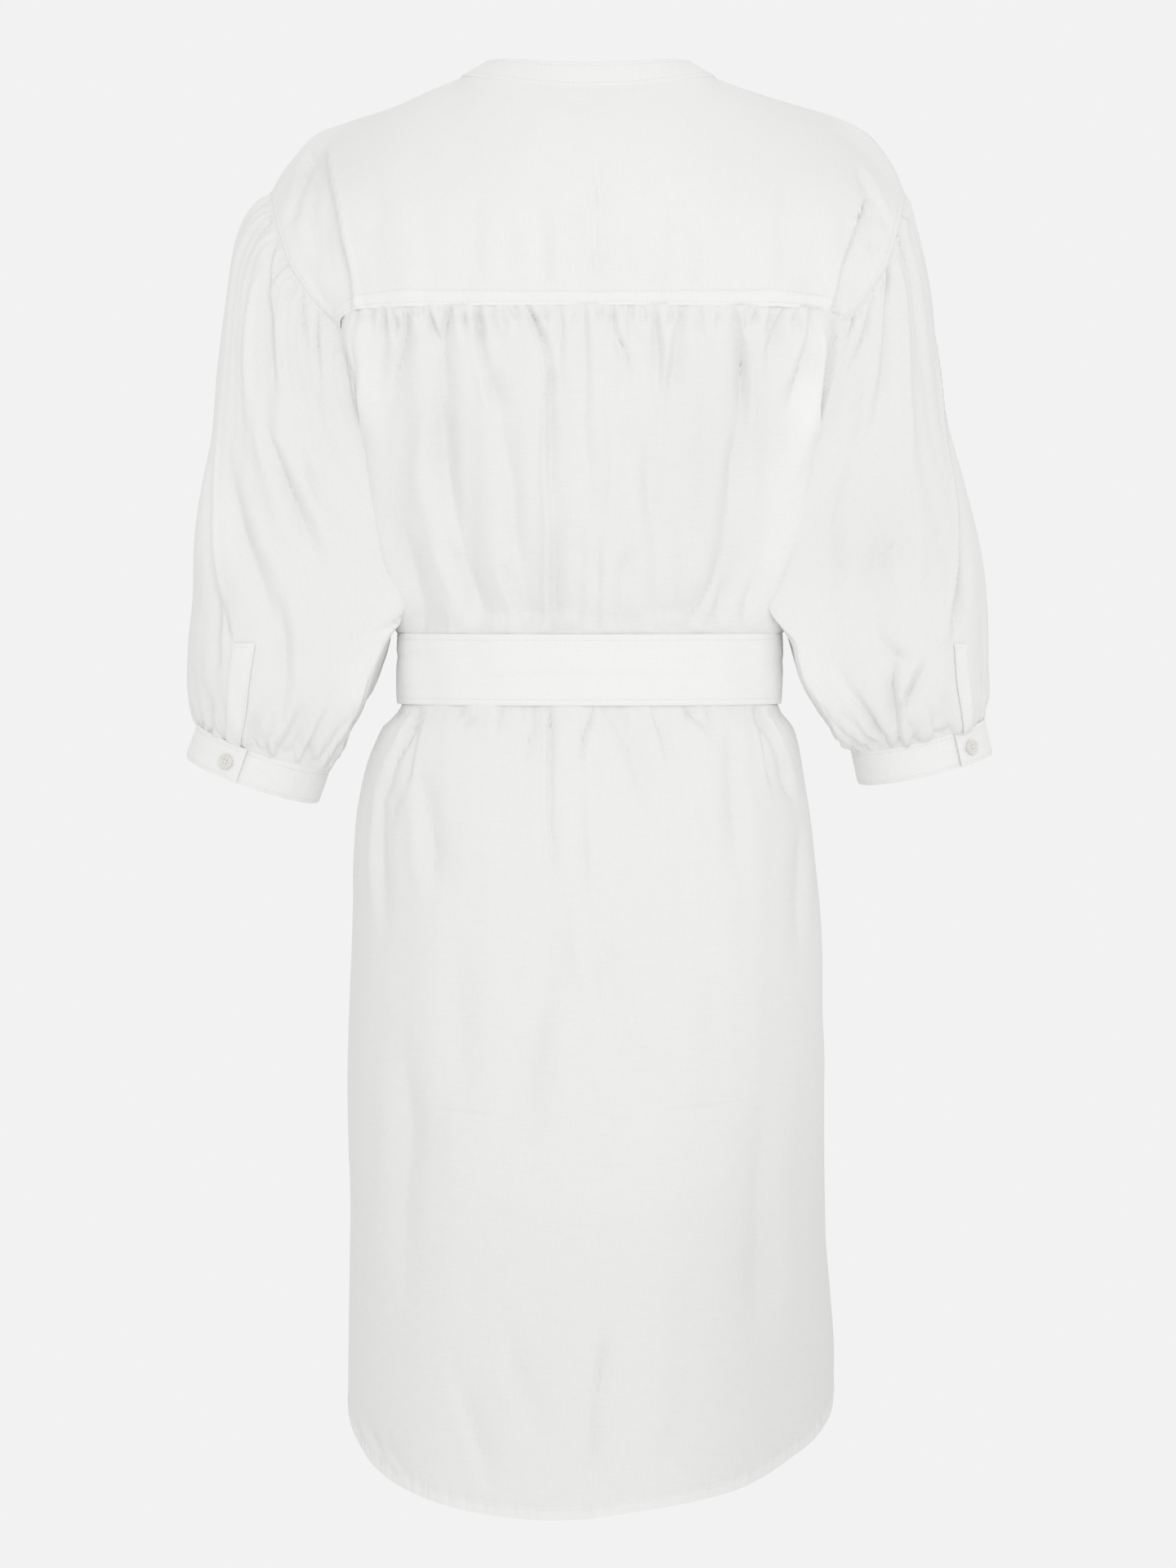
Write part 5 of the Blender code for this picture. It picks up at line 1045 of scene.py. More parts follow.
CHEST_ROWS = 43
FRONT_UPPER = np.concatenate((np.linspace(SEAM_LEVEL, -0.350, 34), np.linspace(-0.355, -0.452, 20),
                              np.linspace(-0.458, HIP_LEVEL, 6)))
FRONT_LOWER = np.concatenate((np.linspace(0.018, 0.955, 38), np.linspace(0.961, 1.0, 9)))


def front_surface(w):
    """Base points of the front over columns w, from the neck to the hem, with the w and level of each."""
    chest_w, chest_v = np.meshgrid(w, np.linspace(0, 1, CHEST_ROWS + 1)[:-1])
    level = skirt_levels(FRONT, w, FRONT_UPPER, FRONT_LOWER)
    grid_w = np.broadcast_to(w, level.shape)
    base = np.concatenate((chest(FRONT, chest_w, chest_v), panel(FRONT, grid_w, level)))
    # The placket has too few columns for this
    if len(w) > 40:
        base[:CHEST_ROWS + 1] = evened(base[:CHEST_ROWS + 1], 9, 0.05, 0.35)
    return base, np.concatenate((chest_w, grid_w)), np.concatenate((np.zeros(chest_w.shape), level))


def front_amount(base, grid_w, level):
    """How far the front's cloth stands out from its base."""
    x, z = base[..., 0], base[..., 2]
    amount = folded(x * 1000, z * 1000, FRONT_CREASES)
    amount += uneven(x, z, 11, 0.00035, 0.03, 0.10)
    amount += uneven(x, z * 0.12, 12, 0.0008, 0.016, 0.050) * np.exp(-np.abs(z - BELT_MIDDLE) / 0.12)
    amount += gathered(x * 1000, (BELT_BOTTOM - z) * 1000, 91, -142, 142, 8.0, 1.5, 14)
    amount += gathered(x * 1000, (z - BELT_TOP) * 1000, 92, -138, 138, 8.5, 1.3, 13)
    amount = pressed(amount, z, BELT_TOP, BELT_BOTTOM)
    edge = ease((1 - np.abs(grid_w)) / 0.04)
    amount *= edge * ease((np.abs(x) - 0.012) / 0.014) * ease((0.01 - z) / 0.05)
    row = np.arange(len(base))[:, None]
    hem = np.where(row >= CHEST_ROWS, np.clip(level - hem_level(FRONT, grid_w), 0, 1), 1.0)
    return amount + hem_rise(hem, grid_w, 168, 2.0, 37, 1.4, 91) * edge


def front_panel(name, side, node):
    """One front, from under the placket to the side seam and the armhole."""
    w = np.linspace(0.0012, 1, 116) if side == LEFT else np.linspace(-1, -0.0012, 116)
    base, grid_w, level = front_surface(w)
    points = base + outward(base) * front_amount(base, grid_w, level)[..., None]
    layers_and_painted_light = 1.2 + 0.9 * (np.arange(len(base)) >= len(base) - 6)[:, None]
    piece = cloth(name, points, layers_and_painted_light, [node], base=base)
    row = len(base) - len(FRONT_LOWER) + nearest(FRONT_LOWER, 1 - HEM_STITCHES / FRONT_SKIRT)
    return seam_lines(points, np.s_[row, 8:-3] if side == LEFT else np.s_[row, 3:-8])


def placket():
    """The buttoned strip down the middle of the front, doubled, with a stitched line at each edge."""
    base, grid_w, level = front_surface(np.linspace(-0.056, 0.056, 15))
    lift = front_amount(base, grid_w, level)
    share = np.abs(np.linspace(-1, 1, 15))
    rise = 0.0012 + 0.0006 - 0.0004 * bell(share - 0.86, 0.06)
    rise = rise + uneven(base[..., 0], base[..., 2], 23, 0.00015, 0.02, 0.06)
    points = base + outward(base) * (lift * 0.3 + rise)[..., None]
    points[..., 0] = np.linspace(-PLACKET_HALF_WIDTH, PLACKET_HALF_WIDTH, 15)
    points[0] += np.array((0, -0.0008, -0.0012))
    piece = cloth("placket_cloth", points, 3, ["front_placket"], thickness=DOUBLED)
    return seam_lines(points, np.s_[2:-2, 1], np.s_[2:-2, 13]), points[:, 7], outward(points)[:, 7]


def collar():
    """The band round the neck: doubled, standing, leaning in, with two rows of stitches."""
    turns = np.concatenate((np.linspace(179.6, 0, 130), np.linspace(0, -179.6, 130)[1:]))
    side = side_of(turns)
    angle = np.radians(np.abs(turns))
    lean = 0.2 + 0.68 * np.sin(angle) ** 2 + 0.25 * np.maximum(0, -np.cos(angle))
    around = pointed(side * np.sin(angle), np.cos(angle), 0)
    rise = unit(pointed(0 * lean, 0, np.sqrt(np.maximum(0.05, 1 - lean ** 2))) - around * lean[:, None])
    heights = np.concatenate(([1.0, 0.985, 0.95], np.linspace(0.9, 0.06, 13), [0.02, -0.05]))
    seam = neck(np.abs(turns), side)
    base = seam[None] + rise[None] * (heights * BAND_HEIGHT)[:, None, None]
    amount = 0.0010 - 0.0007 * (np.clip(heights - 0.94, 0, 1) / 0.06) ** 2
    amount -= 0.0005 * ease((0.02 - heights) / 0.06)
    amount = np.repeat(amount[:, None], len(turns), axis=1)
    stitched = (0.14, 0.86)
    for height in stitched:
        amount -= 0.00035 * bell(heights[:, None] - height, 0.04)
    amount += uneven(base[..., 0] + base[..., 1], base[..., 2], 5, 0.00012, 0.015, 0.05)
    points = base + outward(base) * amount[..., None]
    piece = cloth("collar_cloth", points, 2.0, ["collar_band"], thickness=COLLAR_CLOTH)
    return seam_lines(points, *(np.s_[nearest(heights, height), 2:-2] for height in stitched))


def ring_at(side, s):
    """The sleeve's ring at any ring number, also between those of its table."""
    rings = SLEEVE_RINGS[side]
    numbers = range(len(rings))
    return Ring(*(smooth(numbers, [getattr(ring, field) for ring in rings], s) for field in Ring._fields))


def oval(ring, angle):
    """Points round a ring of the sleeve."""
    return pointed((ring.outer_x + ring.inner_x) / 2 + (ring.outer_x - ring.inner_x) / 2 * np.cos(angle),
                   ring.middle + ring.depth * np.sin(angle),
                   (ring.outer_z + ring.inner_z) / 2 + (ring.outer_z - ring.inner_z) / 2 * np.cos(angle))


def from_outside(turn):
    return np.where(turn <= 180, turn, 360 - turn)


def seam_pull(s):
    """How much a sleeve's ring has the armhole's form: wholly at the seam, and not at all from ring 4 on."""
    return np.maximum(0.0, 1 - s / 4) ** 1.5


def sleeve_base(side, turn, s):
    """The plain sleeve: turn is 0 degrees outside and 90 behind, s is the ring number."""
    angle = np.radians(turn)
    points = oval(ring_at(side, s), angle)
    points[..., 2] -= CUFF_DIP * ease((s - 8) / 5) * np.sin(angle)
    seam = armhole(from_outside(turn), 1.0, np.where(turn <= 180, BACK, FRONT))
    return points + (seam - oval(SLEEVE_RINGS[side][0], angle)) * seam_pull(s)[..., None]


def sleeve_surface(side, turn, s):
    """The creased sleeve for grids of turns and ring numbers, on the left; the right is mirrored."""
    base = sleeve_base(side, turn, s)
    ring = ring_at(side, s)
    radius = (np.hypot(ring.outer_x - ring.inner_x, ring.outer_z - ring.inner_z) / 2 + ring.depth) / 2
    to_cuff = LAST_RING - s
    mm_a_degree = radius * 1000 * pi / 180
    amount = 1.25 * folded(turn, s, SLEEVE_CREASES[side], scale=mm_a_degree, round_=True, hold=0.4)
    arc = ((turn + 180) % 360 - 180) * radius * pi / 180
    amount += gathered(arc * 1000, s * 14, 81 + side, -170, 190, 4.6, 1.5, 11)
    amount += gathered(arc * 1000, to_cuff * 12, 85 + side, -170, 170, 4.4, 1.5, 11)
    amount += 0.003 * ease(s / 0.5) * np.exp(-s / 1.6) * (1 - ease((from_outside(turn) - 100) / 40))
    amount += 0.002 * ease(to_cuff / 0.4) * np.exp(-to_cuff / 1.2)
    # The gathers go on as soft waves, and lessen towards the elbow
    amount += uneven(arc, s * 0.003, 33 + side, 0.0016, 0.012, 0.045) * ease(s / 0.5) * np.exp(-s / 4)
    waves = uneven(arc, s * 0.003, 36 + side, 0.0016, 0.012, 0.040)
    amount += waves * ease(to_cuff / 0.6) * np.exp(-to_cuff / 2.2)
    amount += uneven(arc, s * 0.03, 31 + side, 0.0006, 0.03, 0.09) * ease(s / 1.5)
    amount *= ease(s / 0.12)
    # The cuff's edge and the armhole seam hide the ends of the gathers
    room = np.maximum(0, np.minimum(s, to_cuff) - 0.15)
    amount = np.maximum(amount, -0.0003 - np.where(s < 6, 0.02, 0.009) * room)
    amount += 0.0006 * ease((s - 12.75) / 0.15)
    points = base + outward(base, closed=True) * amount[..., None]
    # Inside and behind, the sleeve's fullness lies against the body
    column = nearest(turn[0], TOUCH_TURN)
    want = along(TOUCH, "z", "x", points[:, column, 2])
    shift = np.minimum(0, want - points[:, column, 0]) * ease(s[:, 0] / 0.30) * ease((9.3 - s[:, 0]) / 1.3)
    near = bell(turn - TOUCH_TURN, np.where(turn < TOUCH_TURN, 26, 30))
    # Lower down it is nearly flat behind, right up to its inner side
    low = ease((s - 7.0) / 2.5)
    full = mix(0.019, 0.033, low) * bell(turn - mix(145, 168, low), mix(28, 36, low))
    full *= (1 - seam_pull(s)) * ease(to_cuff / 2.4)
    corner = low * ease((12.9 - s) / 2.0) * ease((turn - 128) / 24) * ease((192 - turn) / 12)
    squarer = -0.6 * (ring.outer_x - ring.inner_x) / 2 * (1 + np.cos(np.radians(turn))) * corner
    return base, points + pointed(shift[:, None] * near + squarer, full, 0)


def sleeve(name, side, node):
    """A puffed sleeve, gathered into the armhole and the cuff, its seam allowances tucked in."""
    turn = np.linspace(0, 360, 281)[:-1]
    s = np.concatenate((np.linspace(0, 1.2, 22), np.linspace(1.28, 10.4, 76),
                        np.linspace(10.5, LAST_RING, 32)))
    grid_s, grid_turn = np.meshgrid(s, turn, indexing="ij")
    base, points = sleeve_surface(side, grid_turn, grid_s)
    # The seam allowance lies inside, under the edge of the yoke and the body
    tuck = points[:1] + unit(points[0].mean(axis=0) - points[:1]) * 0.0014 - ARM_AXIS * 0.006
    points = np.concatenate((tuck, points))
    base = np.concatenate((tuck, base))
    # Light that comes through makes the inner side pale
    layers_and_painted_light = 1.4 + 1.4 * bell(grid_turn - 168, 36) * ease((grid_s - 6.5) / 2.5)
    middle = ease((grid_s - 1) / 2) * ease((8.5 - grid_s) / 2)
    # Painted light pales a band towards the left sleeve's outer side, and painted shade darkens the middle of
    # the right one's back
    if side == LEFT:
        layers_and_painted_light += 1.4 * bell(grid_turn - 32, 24) * middle
    else:
        layers_and_painted_light -= 0.5 * bell(grid_turn - 95, 40) * ease((grid_s - 4) / 2) * middle
    layers_and_painted_light = np.concatenate((layers_and_painted_light[:1], layers_and_painted_light))
    if side == RIGHT:
        points, base = points[:, ::-1] * (-1, 1, 1), base[:, ::-1] * (-1, 1, 1)
        layers_and_painted_light = layers_and_painted_light[:, ::-1]
    piece = cloth(name, points, layers_and_painted_light, [node], closed=True, base=base)


def cuff_point(side, turn, down, lift):
    """A point of a cuff: turn round it, distance below its seam, and how far it stands out."""
    ring = SLEEVE_RINGS[side][-1]
    reach = np.array((ring.outer_x - ring.inner_x, 0, ring.outer_z - ring.inner_z)) / 2
    deep = np.array((0, CUFF_DEPTH, -CUFF_DIP))
    axis = -np.cross(reach, deep)
    axis /= np.linalg.norm(axis)
    centre = np.array(((ring.outer_x + ring.inner_x) / 2, ring.middle, (ring.outer_z + ring.inner_z) / 2))
    angle = np.radians(turn)[..., None]
    lift = np.asarray(lift)[..., None]
    points = (centre + reach * np.cos(angle) * (1 + lift / np.linalg.norm(reach))
              + deep * np.sin(angle) * (1 + lift / CUFF_DEPTH)
              + axis * (SEAM_GAP + np.asarray(down))[..., None])
    return points * (side, 1, 1)


def cuff_spot(side, turn, lift):
    """One point half way down a cuff."""
    return cuff_point(side, np.array([turn]), np.array([CUFF_HEIGHT / 2]), np.array([lift]))[0]


def cuff_lift(side, turn):
    """How far the lapped end of a cuff stands off the end below it."""
    return 0.0022 * ease((turn - (CUFF_BUTTON_TURN[side] + 300)) / 36)


def cuff(name, side, node):
    """A narrow cuff, doubled, lapped over itself and stitched near both its edges."""
    start = CUFF_BUTTON_TURN[side] - CUFF_OVERLAP / 2
    turn = np.linspace(start, start + 360 + CUFF_OVERLAP, 190)
    down = np.concatenate(([-0.0020, -0.0012, 0.0006], np.linspace(0.0016, CUFF_HEIGHT - 0.0012, 14),
                           [CUFF_HEIGHT - 0.0005, CUFF_HEIGHT]))
    grid_down, grid_turn = np.meshgrid(down, turn, indexing="ij")
    lift = cuff_lift(side, grid_turn) + CUFF_RISE
    for line in (0.0020, CUFF_HEIGHT - 0.0022):
        lift -= 0.00035 * bell(grid_down - line, 0.0008)
    round_ = np.minimum(grid_down + 0.0020, CUFF_HEIGHT - grid_down) / 0.0014
    lift -= 0.0006 * (1 - ease(round_))
    lift += uneven(np.radians(grid_turn) * 0.045, grid_down, 41 + side, 0.0002, 0.012, 0.05)
    points = cuff_point(side, grid_turn, grid_down, lift)
    if side == RIGHT:
        points = points[:, ::-1]
    piece = cloth(name, points, 2.4, [node], thickness=DOUBLED)
    return seam_lines(points, *(np.s_[nearest(down, d), 2:-2] for d in (0.0022, CUFF_HEIGHT - 0.0022)))


PLACKET_TURNS = {LEFT: (60.0, 73.0), RIGHT: (43.5, 53.0)}


def sleeve_placket(name, side, node):
    """The bound slit above a cuff: a narrow doubled strip on the sleeve's own points, moved out."""
    turn = np.linspace(*PLACKET_TURNS[side], 13)
    wide_turn = np.arange(0, 360, 1.0)
    grid_s, grid_turn = np.meshgrid(np.linspace(9.0, 12.9, 40), wide_turn, indexing="ij")
    base, points = sleeve_surface(side, grid_turn, grid_s)
    strip = np.stack([between(turn, wide_turn, line) for line in points])
    ways = np.stack([between(turn, wide_turn, line) for line in outward(base, closed=True)])
    strip = strip + unit(ways) * 0.0016
    if side == RIGHT:
        strip = strip[:, ::-1] * (-1, 1, 1)
    piece = cloth(name, strip, 2.4, [node], thickness=DOUBLED)
    return seam_lines(strip, np.s_[1:-2, 1], np.s_[1:-2, 11], np.s_[1, 1:-1])


def belt_base(turn, share, lift):
    """A point of the belt: turn is 0 degrees behind; share is 0 at its top and 1 at its bottom."""
    around = np.abs(turn)
    behind = around <= 90
    w = side_of(turn) * np.where(behind, around / 90, (180 - around) / 90)
    level = np.full(w.shape, BELT_MIDDLE)
    point = np.where(behind[..., None], panel(BACK, w, level), panel(FRONT, w, level))
    reach = unit(point * (1, 1, 0))
    height = mix(BELT_TOP - 0.0006, BELT_BOTTOM + 0.0006, share)
    height = height - BELT_DIP * np.maximum(0, np.cos(np.radians(turn)))
    flat = point * (1, 1, 0) + reach * (0.0041 + lift)[..., None]
    # Behind, it is as square at its ends as the cloth under it
    squarer = 0.0094 * bell(around / 90 - 0.84, 0.13) * ease((1 - around / 90) / 0.06)
    return flat + pointed(0, squarer, height)


def belt():
    """The tie belt: doubled, stitched round its edges, a little creased where it was tied."""
    turn = np.linspace(174, -174, 340)
    share = np.concatenate(([0.0, 0.012, 0.03], np.linspace(0.05, 0.95, 26), [0.97, 0.988, 1.0]))
    grid_share, grid_turn = np.meshgrid(share, turn, indexing="ij")
    height = (0.5 - grid_share) * 50
    lift = folded(height, grid_turn, BELT_CREASES)
    from_edge = np.minimum(grid_share, 1 - grid_share) * 0.0503
    lift -= 0.0007 * (1 - ease(from_edge / 0.0012)) + 0.0003 * bell(from_edge - 0.0035, 0.0008)
    lift += uneven(np.radians(grid_turn) * 0.12, height * 0.001, 53, 0.0005, 0.03, 0.12)
    # The belt's own bulk lets it bow out a little between its edges
    lift += 0.0005 * np.sin(grid_share * pi)
    points = belt_base(grid_turn, grid_share, lift)
    # Painted shade darkens the belt from where it turns away round its sides
    layers_and_painted_light = 2.6 - 0.7 * ease((np.abs(grid_turn) - 58) / 10)
    piece = cloth("belt_cloth", points, layers_and_painted_light, ["belt"], thickness=BELT_CLOTH)
    return seam_lines(points, *(np.s_[nearest(share, stitched), 2:-2] for stitched in (0.07, 0.93)))


KNOT_CREASES = table(Crease, (
    (-62, -80, -48, 0, -34, 80, 9, 9, 1.6, 0.4, 0.2, 0.2),
    (-30, -80, -12, 0, 2, 80, 9, 8, 1.8, -0.4, 0.2, 0.2),
    (12, -80, 26, 0, 34, 80, 8, 9, 1.6, 0.4, 0.2, 0.2),
    (50, -80, 58, 0, 66, 80, 9, 9, 1.4, -0.4, 0.2, 0.2),
))


def knot():
    """The knot in front: the belt drawn over itself, with folds running across it."""
    turn = np.linspace(0, 360, 97)[:-1]
    rise = np.linspace(-84, 84, 40)
    grid_rise, grid_turn = np.meshgrid(rise[::-1], turn, indexing="ij")
    middle = belt_base(np.array([180.0]), np.array([0.5]), np.array([0.0]))[0]
    centre = np.array((0, middle[1] - 0.0065, middle[2]))
    # Wrapped cloth is squarer than a ball
    flank = np.cos(np.radians(grid_rise)) ** 0.7
    x = flank * np.sin(np.radians(grid_turn))
    y = -flank * np.cos(np.radians(grid_turn))
    z = np.sign(grid_rise) * np.abs(np.sin(np.radians(grid_rise))) ** 0.8
    y = np.where(y > 0, np.minimum(y * 0.010, 0.0062), y * 0.010)
    side_turn = (grid_turn + 180) % 360 - 180
    swell = 1 + folded(side_turn, grid_rise, KNOT_CREASES) * 90 * (np.abs(side_turn) < 90)
    base = np.stack((x * 0.020 * (1 - 0.16 * z * z) * swell, y * swell, z * 0.0235), axis=-1) + centre
    piece = cloth("knot_cloth", base, 3, ["belt_knot"], closed=True, thickness=KNOT_CLOTH)


TAIL_CREASES = {
    LEFT: table(Crease, (
        (-6, 0, -8, -60, -12, -150, 2.5, 5, 1.8, 0.4, 0.03, 0.6),
        (4, 0, 5, -90, 9, -240, 2.5, 6, 2, -0.4, 0.03, 0.6),
        (11, 0, 14, -40, 16, -110, 2, 4, 1.4, 0.4, 0.03, 0.6),
    )),
    RIGHT: table(Crease, (
        (-8, 0, -10, -80, -12, -200, 2.5, 5, 2, 0.4, 0.03, 0.6),
        (1, 0, 0, -50, -3, -130, 2.5, 5, 1.6, -0.4, 0.03, 0.6),
        (8, 0, 12, -70, 14, -180, 2, 5, 1.8, 0.4, 0.03, 0.6),
    )),
}
TailRow = namedtuple("TailRow", "drop out half_width stand tilt")
TAIL_ROWS = table(TailRow, (
    (0.000, 0.006, 0.010, 0.0060, 0.000),
    (0.020, 0.013, 0.015, 0.0068, 0.000),
    (0.055, 0.024, 0.020, 0.0075, 0.001),
    (0.110, 0.032, 0.0235, 0.0070, -0.001),
    (0.180, 0.038, 0.0245, 0.0065, 0.001),
    (0.240, 0.042, 0.0245, 0.0065, -0.001),
    (0.290, 0.045, 0.0245, 0.0065, 0.000),
))


def tail(name, side, node):
    """One loose end of the belt, which fans out of the knot and hangs down the skirt."""
    full_drop = TAIL_ROWS[-1].drop
    grid_drop, grid_across = np.meshgrid(np.linspace(0, full_drop, 90), np.linspace(-1, 1, 28), indexing="ij")
    out, half_width, stand, tilt = (along(TAIL_ROWS, "drop", field, grid_drop)
                                    for field in ("out", "half_width", "stand", "tilt"))
    stand = stand + tilt * grid_across
    x = side * (out + SEAM_GAP * 2) + grid_across * half_width
    x = np.where(side * x < 0.0006, side * 0.0006, x)
    level = BELT_MIDDLE - 0.0225 - grid_drop * TAIL_LENGTH[side] / full_drop
    half = along(SECTIONS, "z", "left" if side == LEFT else "right", level)
    w = np.degrees(np.arcsin(np.clip(x / half, -1, 1))) / 90
    skin = panel(FRONT, w, level)
    lift = folded(grid_across * half_width * 1000, -grid_drop * 1000, TAIL_CREASES[side])
    points = pointed(x, skin[..., 1] - stand - 0.001 - np.maximum(lift, -0.0022), level)
    piece = cloth(name, points, 3, [node], thickness=BELT_CLOTH)
    return seam_lines(points, np.s_[3:-2, 2], np.s_[3:-2, 25])


def button_model():
    """A four-hole button, 10.5 mm across, turned with a raised rim and a dished middle."""
    bpy.ops.mesh.primitive_cylinder_add(vertices=40, radius=BUTTON_RADIUS, depth=0.0022)
    disc = bpy.context.object
    bpy.ops.object.mode_set(mode="EDIT")
    bpy.ops.mesh.select_all(action="DESELECT")
    bpy.ops.object.mode_set(mode="OBJECT")
    for face in disc.data.polygons:
        face.select = face.normal.z > 0.9
    bpy.ops.object.mode_set(mode="EDIT")
    bpy.ops.mesh.inset(thickness=0.0011)
    bpy.ops.mesh.inset(thickness=0.0004)
    bpy.ops.transform.translate(value=(0, 0, -0.0006))
    bpy.ops.object.mode_set(mode="OBJECT")
    bevel = disc.modifiers.new("soft_edge", "BEVEL")
    bevel.width = 0.00028
    bevel.segments = 2
    bevel.limit_method = "ANGLE"
    cutters = []
    for x in (-0.0010, 0.0010):
        for y in (-0.0010, 0.0010):
            bpy.ops.mesh.primitive_cylinder_add(vertices=12, radius=0.00055, depth=0.01, location=(x, y, 0))
            cutter = bpy.context.object
            hole = disc.modifiers.new("hole", "BOOLEAN")
            hole.object = cutter
            hole.solver = "EXACT"
            cutters.append(cutter)
    apply_all(disc)
    for cutter in cutters:
        bpy.data.objects.remove(cutter, do_unlink=True)
    disc.data.materials.append(button_resin)
    bpy.ops.object.shade_smooth_by_angle(angle=radians(35))
    threads = []
    for turn in (45, -45):
        bpy.ops.mesh.primitive_cylinder_add(vertices=10, radius=0.00042, depth=0.0031,
                                            location=(0, 0, 0.00065), rotation=(pi / 2, 0, radians(turn)))
        bar = bpy.context.object
        bpy.ops.object.transform_apply(location=True, rotation=True, scale=True)
        bar.data.materials.append(thread)
        bar.data.shade_smooth()
        threads.append(bar)
    select_only(*threads, disc)
    bpy.ops.object.join()
    return disc


def facing(middle, way, across):
    """The matrix that moves a mesh to its middle, with its Z outwards and its X across."""
    up = Vector(way).normalized()
    side = Vector(across)
    side = (side - up * side.dot(up)).normalized()
    return Matrix.Translation(Vector(middle)) @ Matrix((side, up.cross(side), up)).transposed().to_4x4()


def place_button(model, name, node, middle, way, across):
    """A copy of the button, its own mesh turned to face outwards and moved to its place."""
    copy = model.copy()
    copy.data = model.data.copy()
    copy.name = name
    copy.data.transform(facing(middle, way, across))
    bpy.context.scene.collection.objects.link(copy)
    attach(copy, "root")
    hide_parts(node)


def buttonhole(name, middle, way, along_way, length=0.013):
    """The worked edge of a buttonhole: a narrow ring of close stitches."""
    bpy.ops.mesh.primitive_torus_add(major_segments=36, minor_segments=8,
                                     major_radius=0.0011, minor_radius=0.00045)
    ring = bpy.context.object
    for vertex in ring.data.vertices:
        vertex.co.x += (1 if vertex.co.x > 0 else -1) * (length / 2 - 0.0015)
        vertex.co.z *= 0.6
    ring.data.transform(facing(middle, way, along_way))
    ring.name = name
    ring.data.materials.append(thread)
    ring.data.shade_smooth()
    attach(ring, "root")


# The dress
sewing = {"yoke_stitches": yoke(), "hem_stitches": back_panel()}
sewing["hem_stitches"] += front_panel("front_left_cloth", LEFT, "front_left")
sewing["hem_stitches"] += front_panel("front_right_cloth", RIGHT, "front_right")
placket_lines, placket_middle, placket_ways = placket()
sewing["placket_stitches"] = placket_lines
sewing["collar_stitches"] = collar()
sewing["belt_stitches"] = belt()
knot()
sewing["belt_stitches"] += tail("tail_left_cloth", LEFT, "belt_tail_left")
sewing["belt_stitches"] += tail("tail_right_cloth", RIGHT, "belt_tail_right")
button = button_model()
for word, side in (("left", LEFT), ("right", RIGHT)):
    sleeve(f"sleeve_{word}_cloth", side, f"sleeve_{word}")
    lines = cuff(f"cuff_{word}_cloth", side, f"cuff_{word}")
    lines += sleeve_placket(f"sleeve_placket_{word}_cloth", side, f"sleeve_placket_{word}")
    sewing[f"cuff_{word}_stitches"] = lines
    turn = CUFF_BUTTON_TURN[side]
    seat = cuff_lift(side, turn + 360) + CUFF_RISE + BUTTON_SEAT
    middle = cuff_spot(side, turn, seat)
    way = middle - cuff_spot(side, turn, -0.01)
    across = cuff_spot(side, turn + 8, seat) - middle
    place_button(button, f"cuff_{word}_button", f"cuff_button_{word}", middle, way, across)
    buttonhole(f"cuff_{word}_buttonhole", cuff_spot(side, turn, seat - 0.0011), way, across)
for number, level in enumerate(BUTTON_LEVELS, start=1):
    heights = placket_middle[::-1, 2]
    spot = between(level, heights, placket_middle[::-1])
    way = unit(between(level, heights, placket_ways[::-1]))
    place_button(button, f"front_button_{number}_resin", f"front_button_{number}",
                 spot + way * 0.0013, way, (1, 0, 0.1 * (number % 3 - 1)))
    buttonhole(f"front_buttonhole_{number}", spot + way * 0.0001, way, (0, 0, 1))
bpy.data.objects.remove(button, do_unlink=True)
for name, lines in sewing.items():
    stitches(name, lines)

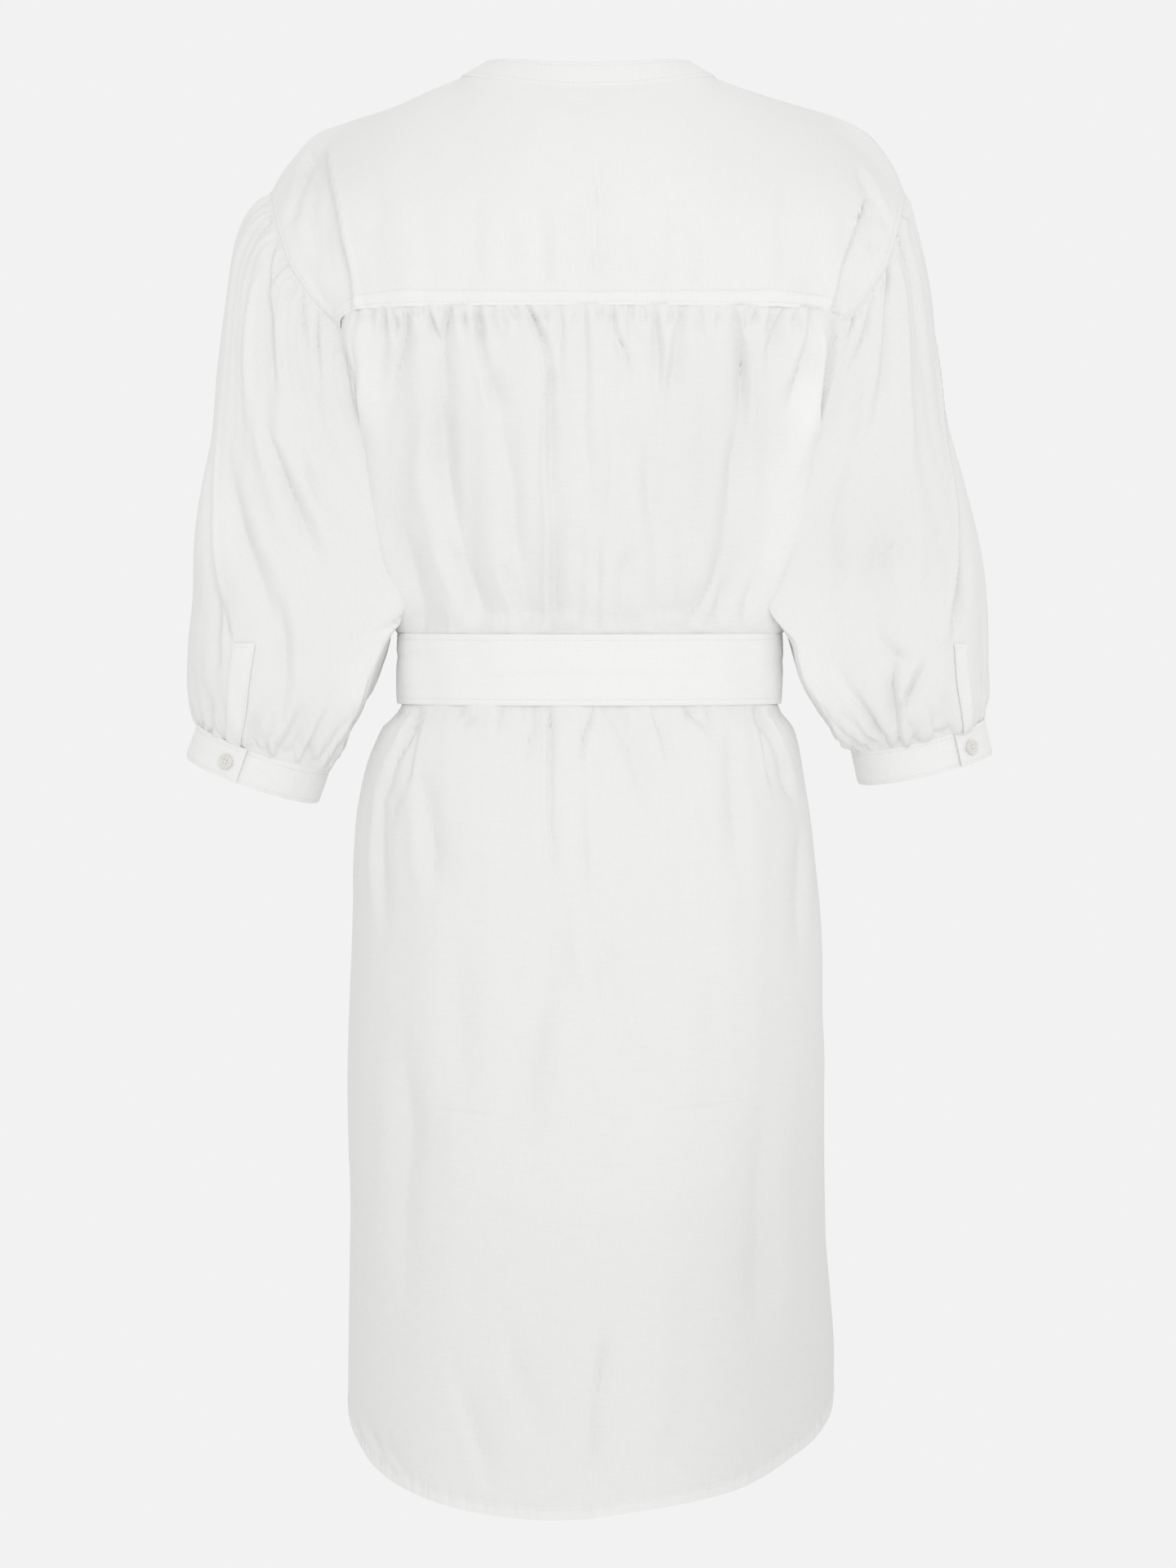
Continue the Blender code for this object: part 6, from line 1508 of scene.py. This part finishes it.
# A plain pale studio
PALE_PAPER = "F2F2F2"
bpy.ops.mesh.primitive_circle_add(vertices=96, radius=3, fill_type="NGON", location=(0, 0, -1.62))
floor = bpy.context.object
floor.name = "floor"
paper, paper_tree, paper_shader = new_material("matt_paper_floor")
grain = add(paper_tree, "ShaderNodeTexNoise", values={"Scale": 40.0, "Detail": 2.0})
grain_bump = add(paper_tree, "ShaderNodeBump", values={"Strength": 0.02, "Distance": 0.001},
                 links={"Height": grain.outputs["Fac"]})
paper_tree.links.new(grain_bump.outputs["Normal"], paper_shader.inputs["Normal"])
paper_shader.inputs["Base Color"].default_value = linear(PALE_PAPER)
paper_shader.inputs["Roughness"].default_value = 0.95
floor.data.materials.append(paper)

world = bpy.data.worlds.new("studio")
bpy.context.scene.world = world
world.use_nodes = True
# The camera sees the tone of pale paper behind the dress, and an even white light falls on the cloth
seen = world.node_tree.nodes["Background"]
seen.inputs["Color"].default_value = linear(PALE_PAPER)
lighting = add(world.node_tree, "ShaderNodeBackground", values={"Color": linear("FFFFFF"), "Strength": 0.84})
by_camera = add(world.node_tree, "ShaderNodeLightPath").outputs["Is Camera Ray"]
both = add(world.node_tree, "ShaderNodeMixShader",
           links={"Fac": by_camera, 1: lighting.outputs["Background"], 2: seen.outputs["Background"]})
world.node_tree.links.new(both.outputs["Shader"], world.node_tree.nodes["World Output"].inputs["Surface"])


def soft_light(name, place, size, power):
    """A square lamp that points at the middle of the dress."""
    light = bpy.data.lights.new(name, "AREA")
    light.energy = power
    light.size = size
    lamp = put_in_scene(name, light)
    lamp.location = place
    lamp.rotation_euler = (Vector((0, 0, -0.45)) - Vector(place)).to_track_quat("-Z", "Y").to_euler()


soft_light("key_behind", (-0.5, 3.5, 0.6), 1.8, 20)
soft_light("key_in_front", (0.5, -3.5, 0.6), 1.8, 20)

# The photo's camera, level and 4 m behind the dress
camera = bpy.data.cameras.new("camera")
camera.sensor_fit = "VERTICAL"
camera.sensor_height = 36
camera.lens = 127.64
viewer = put_in_scene("camera", camera)
viewer.location = (0, 4.0, -0.4877)
viewer.rotation_euler = (pi / 2, 0, pi)
bpy.context.scene.camera = viewer
bpy.context.scene.view_settings.view_transform = "Standard"
bpy.context.scene.view_settings.look = "None"
